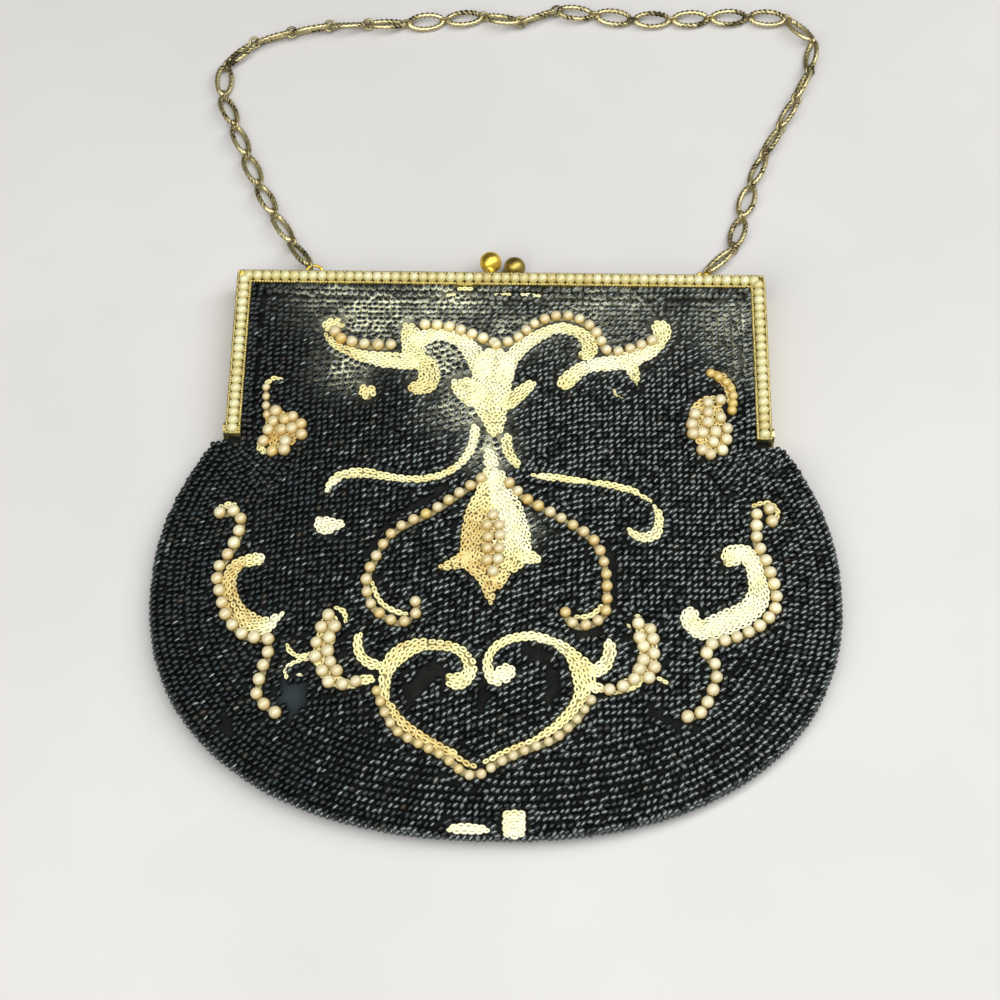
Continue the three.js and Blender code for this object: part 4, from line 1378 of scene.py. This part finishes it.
def front_beads():
    """Plan and direction of every seed bead on the front."""
    field = BeadField()

    def lay(plan, way, closest=CLOSEST_BEADS):
        clear = at_grid(MOTIF_FIELD, plan) > EDGE_ROW - MOTIF_OVERLAP
        covered = at_grid(BARE_FIELD, plan) > rng.uniform(-BARE_RAGGED, BARE_RAGGED, len(plan))
        fits = clear & covered & in_frame_opening(plan) & (ring_place(plan) < LAST_PLACE)
        field.lay(plan[fits], way[fits], closest)

    for row in range(FRAME_ROWS):
        lay(*bead_line(frame_line(FRAME_FACE + FRAME_GAP + row * ROW_PITCH, FRAME_FOOT)))
    for loop in edge_loops():
        lay(*bead_line(loop))
    for row in range(RIM_ROWS):
        for run in inset_runs(FIRST_ROW + row * ROW_PITCH):
            lay(*bead_line(run))
    x_line = np.linspace(*FIELD_SPAN, FIELD_STEPS)
    wave = FIELD_WAVE * np.sin(x_line / FIELD_WAVELENGTH * math.pi)
    for start in np.arange(*FIELD_ROWS, ROW_PITCH):
        tilted = start + math.tan(FIELD_TILT) * x_line
        lay(*bead_line(np.column_stack([x_line, tilted + wave])))
    gaps = rng.uniform(*GAP_AREA, (GAP_DRAWS, 2))
    turn = rng.uniform(0, math.pi, len(gaps))
    lay(gaps, np.column_stack([np.cos(turn), np.sin(turn)]), CLOSEST_FILL)
    plan = np.array(field.plan)
    return plan + rng.normal(0, BEAD_STRAY, plan.shape), np.array(field.way)


def back_beads():
    """Plan and direction of every seed bead on the back, in rows that follow its rim."""
    field = BeadField()
    for row in range(BACK_ROWS):
        for run in inset_runs(FIRST_ROW + row * ROW_PITCH):
            plan, way = bead_line(run)
            fits = in_frame_opening(plan)
            field.lay(plan[fits], way[fits])
    return np.array(field.plan), np.array(field.way)


def bead_marks(normal, along, dust_and_sheen):
    """Marks of beads whose thread runs along a row, each a little out of true."""
    count = len(normal)
    lean = rng.normal(0, BEAD_LEAN, (count, 1))
    skew = rng.normal(0, BEAD_SKEW, (count, 1))
    thread = unit(along + lean * normal + skew * np.cross(normal, along))
    side = unit(np.cross(thread, normal))
    return {
        "turn": turns(np.cross(side, thread), side, thread),
        "swell": rng.normal(1, BEAD_UNEVEN, count).clip(*BEAD_SIZES),
        "tone": rng.uniform(0, 1, count),
        "dust_and_sheen": dust_and_sheen,
        "sweep": np.tile(GLINT_WAY, (count, 1)) + rng.normal(0, GLINT_STRAY, (count, 3)),
    }


def bead_pieces(name, plan, way, height, seat, out, looks, facets):
    """Seed beads of one side, the bright and the dull ones apart, from left to right."""
    dust_and_sheen, dullness = looks(plan)
    dull = rng.uniform(0, 1, len(plan)) < dullness
    pieces = []
    for part, low, high in zip(("left", "middle", "right"), PIECE_BOUNDS, PIECE_BOUNDS[1:]):
        here = (plan[:, 0] >= low) & (plan[:, 0] < high)
        for gloss, finish, kind in (("bright", BRIGHT_BEADS, ~dull), ("dull", DULL_BEADS, dull)):
            chosen = here & kind
            if not chosen.any():
                continue
            places, normal, along, _ = cloth_axes(height, plan[chosen], way[chosen], out)
            jitter = rng.normal(0, BEAD_BOB, (len(places), 1))
            pieces.append(grown(
                f"{name}_{part}_{gloss}", BEADS, places + normal * (seat(plan[chosen])[:, None] + jitter),
                bead_marks(normal, along, dust_and_sheen[chosen]),
                bead_sizes(BEAD_DIAMETER, BEAD_LENGTH, facets), finish))
    return pieces


def front_seat(plan):
    return BEAD_SEAT + crowded_lift(plan)


def front_looks(plan):
    """Dust and painted sheen on the front's beads, and the share of dull ones, which is higher on the left
    as painted shade.
    """
    left, right = DULL_SHARE
    return dust_and_sheen_at(plan), left + (right - left) * smooth(plan[:, 0], *PAINTED_SHADE_SPAN)


def back_seat(plan):
    return np.full(len(plan), BACK_SEAT)


def back_looks(plan):
    return nowhere(plan), nowhere(plan)


front_plan, front_way = front_beads()
front_bead_pieces = bead_pieces(
    "front_beads", front_plan, front_way, front_height, front_seat, 1, front_looks, BEAD_FACETS)
back_plan, back_way = back_beads()
back_bead_pieces = bead_pieces(
    "back_beads", back_plan, back_way, back_height, back_seat, -1, back_looks, BACK_FACETS)


def seam_beads():
    """One row of beads round the rim, where front and back are sewn together."""
    below = RIM[RIM[:, 1] < RIM_FOOT - SEAM_DROP]
    start = int(np.argmax(np.linalg.norm(np.diff(below, axis=0), axis=1))) + 1
    stops, way = bead_line(np.roll(below, -start, 0))
    level = np.zeros(len(way))
    along = np.column_stack([way, level])
    outward = np.column_stack([left_of(way), level])
    places = np.column_stack([stops, np.full(len(stops), SEAM_Z)]) + outward * SEAM_OUT
    return grown(
        "seam_beads", BEADS, places, bead_marks(outward, along, level),
        bead_sizes(BEAD_DIAMETER, BEAD_LENGTH, BEAD_FACETS), BRIGHT_BEADS)


seam_row = seam_beads()


# Chain stitch and pearls of the motif

def stitches():
    """Plan, direction, tone and size of every loop of chain stitch."""
    found = []
    for line in BANDS:
        left = left_of(ways(line))
        span = np.maximum(line[:, 2] - 2 * STITCH_EDGE, 0)
        fit = np.round(span / STITCH_ROW)
        rows = int(fit.max()) + 1
        swell = np.clip(line[:, 2] / STITCH_WIDTH, SMALLEST_STITCH, 1)
        for row in range(rows):
            slot, before = np.round(np.array([[row], [row - 1]]) * fit / max(rows - 1, 1))
            inside = (slot != before) | (row == 0)
            offset = (slot / np.maximum(fit, 1) - 0.5 * (fit > 0)) * span
            path = np.column_stack([line[:, :2] + left * offset[:, None], line[:, 3], swell])
            for run in kept_runs(path, inside):
                if len(run) < SHORTEST_RUN:
                    continue
                stops = even_steps(run, STITCH_LENGTH * run[:, 3].mean())
                middles = (stops[:-1] + stops[1:]) / 2
                found.append(np.column_stack([middles[:, :2], ways(stops)[:-1], middles[:, 2:]]))
    found = np.vstack(found)
    return found[:, :2], found[:, 2:4], found[:, 4], found[:, 5]


def stitch_loops():
    plan, way, tone, size = stitches()
    count = len(plan)
    plan = plan + rng.normal(0, STITCH_STRAY, plan.shape)
    places, normal, along, across = cloth_axes(front_height, plan, way)
    lift = PAD_HEIGHT + crowded_lift(plan)[:, None] + rng.normal(0, STITCH_BOB, (count, 1))
    tilt = unit(along + STITCH_TILT * normal)
    marks = {
        "turn": turns(tilt, across, np.cross(tilt, across)),
        "swell": size * rng.normal(1, STITCH_UNEVEN, count).clip(*STITCH_SIZES),
        "tone": (tone + rng.normal(0, STITCH_TONE_STRAY, count)).clip(0, 1),
    }
    return grown(
        "chain_stitch", WIRE_RINGS, places + normal * lift, marks,
        ring_sizes(STITCH_SPAN, STITCH_WIDTH, THREAD, STITCH_FACETS), SILK)


def stitch_ground():
    """Low padded ribbons under the chain stitch."""
    corners = len(PAD_SECTION)
    places, faces, tones = [], [], []
    count = 0
    for line in [*BANDS, *BEDS]:
        line = even_steps(line, PAD_STEP)
        way = ways(line)
        left = left_of(way)
        rings = []
        for side, lift in PAD_SECTION:
            plan = line[:, :2] + left * (side * line[:, 2:3] / 2)
            at, normal, _, _ = cloth_axes(front_height, plan, way)
            rings.append(at + normal * (lift + crowded_lift(plan)[:, None]))
        ribbon = np.stack(rings, 1).reshape(-1, 3)
        for step in range(len(line) - 1):
            low = count + step * corners
            for corner in range(corners):
                after = (corner + 1) % corners
                faces.append((low + corner, low + after, low + corners + after, low + corners + corner))
        faces.append(tuple(count + corner for corner in range(corners))[::-1])
        end = count + (len(line) - 1) * corners
        faces.append(tuple(end + corner for corner in range(corners)))
        places.append(ribbon)
        tones.append(np.repeat(line[:, 3], corners))
        count += len(ribbon)
    return mesh_piece(
        "stitch_ground", np.vstack(places), faces, STITCH_GROUND, {"tone": np.concatenate(tones)})


def motif_pearls():
    count = len(PEARL_PLAN)
    turn = rng.uniform(0, math.pi, count)
    way = np.column_stack([np.cos(turn), np.sin(turn)])
    places, normal, along, across = cloth_axes(front_height, PEARL_PLAN, way)
    marks = {
        "turn": turns(normal, along, across),
        "swell": PEARL_SIZE * rng.normal(1, PEARL_UNEVEN, count),
        "tone": (PEARL_TONE + rng.normal(0, PEARL_TONE_STRAY, count)).clip(0, 1),
    }
    return grown(
        "motif_pearls", BEADS, places + normal * (PEARL_SEAT * PEARL_SIZE[:, None]), marks,
        bead_sizes(PEARL_DIAMETER, PEARL_DIAMETER * PEARL_PRESS, PEARL_FACETS), MOTIF_PEARL)


ground = stitch_ground()
loops = stitch_loops()
pearls = motif_pearls()


# Frame, clasp and chain

def beads_along(name, line, pitch, z, sizes, finish, tone):
    """A level row of beads along a line."""
    stops = even_steps(even_steps(line, LINE_STEP), pitch)
    count = len(stops)
    along = np.column_stack([ways(stops), np.zeros(count)])
    up = np.tile((0.0, 0.0, 1.0), (count, 1))
    marks = {
        "turn": turns(up, np.cross(along, up), along),
        "swell": rng.normal(1, TRIM_UNEVEN, count),
        "tone": rng.normal(tone, TRIM_TONE_STRAY, count).clip(0, 1),
    }
    return grown(name, BEADS, np.column_stack([stops, np.full(count, z)]), marks, sizes, finish)


def milled_edge(name, inset):
    return beads_along(
        name, frame_line(inset, MILLED_FOOT), MILLED_PITCH, FACE_Z,
        bead_sizes(MILLED_DIAMETER, MILLED_DIAMETER, MILLED_FACETS), GILT, 0.5)


trim = beads_along(
    "frame_pearl_string", frame_line(TRIM_INSET, TRIM_FOOT), TRIM_PITCH, TRIM_Z,
    bead_sizes(TRIM_DIAMETER, TRIM_LENGTH, TRIM_FACETS), TRIM_PEARL, 0.75)
milled_inner = milled_edge("milled_edge_inner", FRAME_FACE - MILLED_INSET)
milled_outer = milled_edge("milled_edge_outer", MILLED_INSET)


def turned(name, profile, base, finish):
    """A turned knob that stands along +y: profile is (distance from its base, radius)."""
    angle = np.linspace(0, 2 * math.pi, KNOB_SIDES, endpoint=False)
    places = np.vstack([
        np.column_stack([
            base[0] + radius * np.cos(angle), np.full(KNOB_SIDES, base[1] + along),
            base[2] + radius * np.sin(angle),
        ])
        for along, radius in profile
    ])
    last = len(places) - KNOB_SIDES
    faces = []
    for low in range(0, last, KNOB_SIDES):
        high = low + KNOB_SIDES
        for side in range(KNOB_SIDES):
            after = (side + 1) % KNOB_SIDES
            faces.append((low + side, high + side, high + after, low + after))
    faces.append(tuple(range(KNOB_SIDES)))
    faces.append(tuple(range(last, len(places)))[::-1])
    return mesh_piece(name, places, faces, finish)


def clasp_knob(name, x, y, z, finish):
    """A ball on a collar and a stem, on the frame's top edge."""
    radius = BALL_DIAMETER / 2
    foot = y - radius
    profile = KNOB_FOOT + [(foot + along, width) for along, width in KNOB_NECK]
    start = math.asin(KNOB_SEAT / radius)
    for angle in np.linspace(math.pi - start, KNOB_TIP, KNOB_RINGS):
        profile.append((y + radius * math.cos(angle), radius * math.sin(angle)))
    return turned(name, profile, (x, 0.0, z), finish)


front_knob = clasp_knob("clasp_knob_front", *BALL_PLACES["front"], BRIGHT_GILT)
back_knob = clasp_knob("clasp_knob_back", *BALL_PLACES["back"], DULL_GILT)


def jump_ring_axes(loop_x, tilt, pull):
    """Middle of a jump ring, its axes, and the direction in which the chain pulls it."""
    across = np.array([1.0, 0.0, 0.0])
    out = np.array([0.0, math.cos(tilt), math.sin(tilt)])
    centre = np.array([loop_x, JUMP_SEAT_Y, BACK_HALF_Z]) + out * JUMP_RADIUS
    return centre, across, out, math.sin(pull) * across + math.cos(pull) * out


def chain_end(end):
    """Middle of the chain's first or last ring."""
    centre, _, _, pull_way = jump_ring_axes(**end)
    play = (JUMP_WIRE + RING_WIRE) / 2 + END_CLEARANCE
    return centre + pull_way * (JUMP_RADIUS + (RING_DIAMETER - RING_WIRE) / 2 - play)


def chain_curve():
    """The line along which the chain lies, finely stepped."""
    points = np.array([
        chain_end(CHAIN_ENDS["left"]),
        *[(x, y, CHAIN_Z) for x, y in CHAIN_ROUTE],
        chain_end(CHAIN_ENDS["right"]),
    ])
    line = []
    for before, start, end, after in chart_legs(points):
        gap_in, gap, gap_out = (
            math.sqrt(np.linalg.norm(b - a)) for a, b in ((before, start), (start, end), (end, after)))
        middle = (end - start) / gap
        way_in = ((start - before) / gap_in - (end - before) / (gap_in + gap) + middle) * gap
        way_out = (middle - (after - start) / (gap + gap_out) + (after - end) / gap_out) * gap
        line.append(bent_leg(start, end, way_in, way_out, CHAIN_STEPS))
    line = np.vstack([*line, points[-1:]])
    length = lengths(line)
    line = stops_on(line, length, np.arange(0, length[-1], WALK_STEP))
    line[:, 2] = np.maximum(line[:, 2], CHAIN_Z)
    return line


def walk(line, pitch):
    """Steps along the chain's line, each a straight pitch from the one before."""
    stops = [0]
    guess = int(pitch / WALK_STEP)
    while len(stops) <= LINK_COUNT:
        ahead = line[stops[-1] + guess:stops[-1] + 2 * guess]
        far = np.flatnonzero(np.linalg.norm(ahead - line[stops[-1]], axis=1) >= pitch)
        if not len(far):
            break
        stops.append(stops[-1] + guess + int(far[0]))
    return stops


def fit_pitch(line):
    """The pitch at which the chain's last ring comes to the end of its line."""
    high = len(line) * WALK_STEP / LINK_COUNT
    low = high / MOST_SLACK
    for _ in range(HALVINGS):
        middle = (low + high) / 2
        if len(walk(line, middle)) > LINK_COUNT:
            low = middle
        else:
            high = middle
    return low


def chain_axes(along, roll):
    """Axes of links or rings: along the chain, across their own plane, and their normal."""
    along = unit(along)
    flat = unit(np.cross((0, 0, 1), along))
    turn = np.radians(roll)[:, None]
    across = np.cos(turn) * flat + np.sin(turn) * np.cross(along, flat)
    return along, across, np.cross(along, across)


def wire_rings(name, tree, places, axes, sizes, finish):
    return grown(
        name, tree, places, {"turn": turns(*axes), "swell": np.ones(len(places))}, sizes, finish)


def rest_height(width, wire, roll):
    """How high the middle of a rolled ring or link is when its lower side rests on the floor."""
    return (width - wire) / 2 * np.abs(np.sin(np.radians(roll))) + wire / 2 + FLOOR_GAP


def make_chain():
    """The chain's long links and the small rings between them."""
    line = chain_curve()
    pitch = fit_pitch(line)
    places = line[walk(line, pitch)]
    rolls = np.array([0, *LINK_ROLLS, 0])
    ring_rolls = (rolls[1:] + rolls[:-1]) / 2 + 90
    link_width = LINK_WIDTH - LINK_WIRE + KNURLED_WIRE
    link_rest = rest_height(link_width, KNURLED_WIRE, rolls)
    ring_rest = rest_height(RING_DIAMETER, RING_WIRE, ring_rolls)
    places[:, 2] = np.max([places[:, 2], link_rest[1:], link_rest[:-1], ring_rest], axis=0)
    around = np.vstack([places[:1], places, places[-1:]])
    rings = wire_rings(
        "chain_rings", WIRE_RINGS, places, chain_axes(around[2:] - around[:-2], ring_rolls),
        ring_sizes(RING_DIAMETER, RING_DIAMETER, RING_WIRE, RING_FACETS), CHAIN_BRASS)
    half_length = pitch / 2 - (RING_DIAMETER / 2 - RING_WIRE) - SOLDER_DEPTH + LINK_WIRE / 2
    links = wire_rings(
        "chain_links", STRAND_RINGS, (places[1:] + places[:-1]) / 2,
        chain_axes(np.diff(places, axis=0), rolls[1:-1]),
        ring_sizes(2 * half_length + KNURLED_WIRE, link_width, KNURLED_WIRE,
                   (LINK_STEPS, STRAND_RIDGES), 2 * math.pi * KNURL_TURNS / LINK_STEPS),
        STRAND_BRASS)
    return links, rings


def jump_rings():
    """The two rings that join the chain to the frame's loops."""
    made = {}
    width = 2 * JUMP_RADIUS + JUMP_WIRE
    for side, end in CHAIN_ENDS.items():
        centre, across, out, _ = jump_ring_axes(**end)
        axes = [axis[None] for axis in (across, out, np.cross(across, out))]
        made[side] = wire_rings(
            f"jump_ring_{side}", WIRE_RINGS, centre[None], axes,
            ring_sizes(width, width, JUMP_WIRE, JUMP_FACETS), BRIGHT_GILT)
    return made


chain_links, chain_rings = make_chain()
jumps = jump_rings()

for node in ("frame_front", "frame_back", "hinge_left", "hinge_right"):
    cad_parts[node].data.materials.clear()
    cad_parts[node].data.materials.append(GILT)


# Floor, light and camera

FLOOR_HALF = 2.5
STRIP_WAY = BACK + 0.25 * UP + 0.1 * RIGHT
STRIP_DISTANCE = 1.05
STRIP_SIZE = (4.8, 0.8)
STRIP_POWER = 50.0
SURROUND_COLOUR = (1.0, 0.99, 0.97, 1.0)
SURROUND_STRENGTH = 0.085


def floor():
    finish, tree, shader = new_finish("pale_floor")
    pale = ramp(tree, mottle(tree, 6, 0, 1), [(0.0, (0.54, 0.53, 0.515)), (1.0, (0.58, 0.57, 0.555))])
    feed(tree, shader, {"Base Color": pale, "Roughness": 0.75})
    corners = [(-1, -1), (1, -1), (1, 1), (-1, 1)]
    mesh = bpy.data.meshes.new("floor")
    mesh.from_pydata([(x * FLOOR_HALF, y * FLOOR_HALF, 0) for x, y in corners], [], [(0, 1, 2, 3)])
    mesh.materials.append(finish)
    piece = new_object("floor", mesh)


def aimed(back, level):
    """Rotation of a light or camera that looks against back, its own x along level."""
    z_axis = Vector(back).normalized()
    x_axis = (Vector(level) - Vector(level).project(z_axis)).normalized()
    return Matrix((x_axis, z_axis.cross(x_axis), z_axis)).transposed()


def area_light(name, back, level, distance, size, power):
    lamp = bpy.data.lights.new(name, "AREA")
    lamp.shape = "RECTANGLE"
    lamp.size, lamp.size_y = size
    lamp.energy = power
    light = new_object(name, lamp)
    light.matrix_world = aimed(back, level).to_4x4()
    light.location = Vector(on_floor(CAMERA_TARGET)) + Vector(back).normalized() * distance


def studio():
    """A long strip of light beside the camera, tilted to the right, and a pale surround."""
    area_light("strip", STRIP_WAY, GLINT_WAY, STRIP_DISTANCE, STRIP_SIZE, STRIP_POWER)
    world = bpy.data.worlds.new("surround")
    world.use_nodes = True
    feed(world.node_tree, world.node_tree.nodes["Background"], {
        "Color": SURROUND_COLOUR, "Strength": SURROUND_STRENGTH,
    })
    bpy.context.scene.world = world
    bpy.context.scene.view_settings.view_transform = "Standard"


def photo_camera():
    data = bpy.data.cameras.new("photo_camera")
    data.sensor_width = SENSOR
    data.lens = FOCAL / PHOTO_SIZE * SENSOR
    camera = new_object("photo_camera", data)
    camera.matrix_world = aimed(BACK, RIGHT).to_4x4()
    camera.location = on_floor(EYE)
    bpy.context.scene.camera = camera


floor()
studio()
photo_camera()


# What each piece belongs to

SLOTS = {
    "beaded_cloth": [front_cloth, back_cloth],
    "seed_bead": [*front_bead_pieces, *back_bead_pieces, seam_row],
    "embroidery_thread": [ground, loops],
    "motif_pearl": [pearls],
    "trim_pearl": [trim],
    "gilt_frame": [milled_inner, milled_outer],
    "bright_gilt": [front_knob, back_knob, *jumps.values()],
    "chain_brass": [chain_links, chain_rings],
}
for slot, pieces in SLOTS.items():
    for piece in pieces:
        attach(piece, "root")

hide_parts("front_panel")
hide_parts("back_panel")
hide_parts("frame_pearls")
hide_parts("clasp_ball_front")
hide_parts("clasp_ball_back")
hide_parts("chain_end_left")
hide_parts("chain_end_right")
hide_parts("chain")


def cut_area(piece):
    """Area of one side of a thin cloth, in square metres."""
    areas = np.empty(len(piece.data.polygons), np.float32)
    piece.data.polygons.foreach_get("area", areas)
    return float(areas.sum() / 2)


front_dressing = [*front_bead_pieces, ground, loops, pearls]
for cloth, beads in ((front_cloth, front_dressing), (back_cloth, back_bead_pieces)):
    cut_area(cloth)
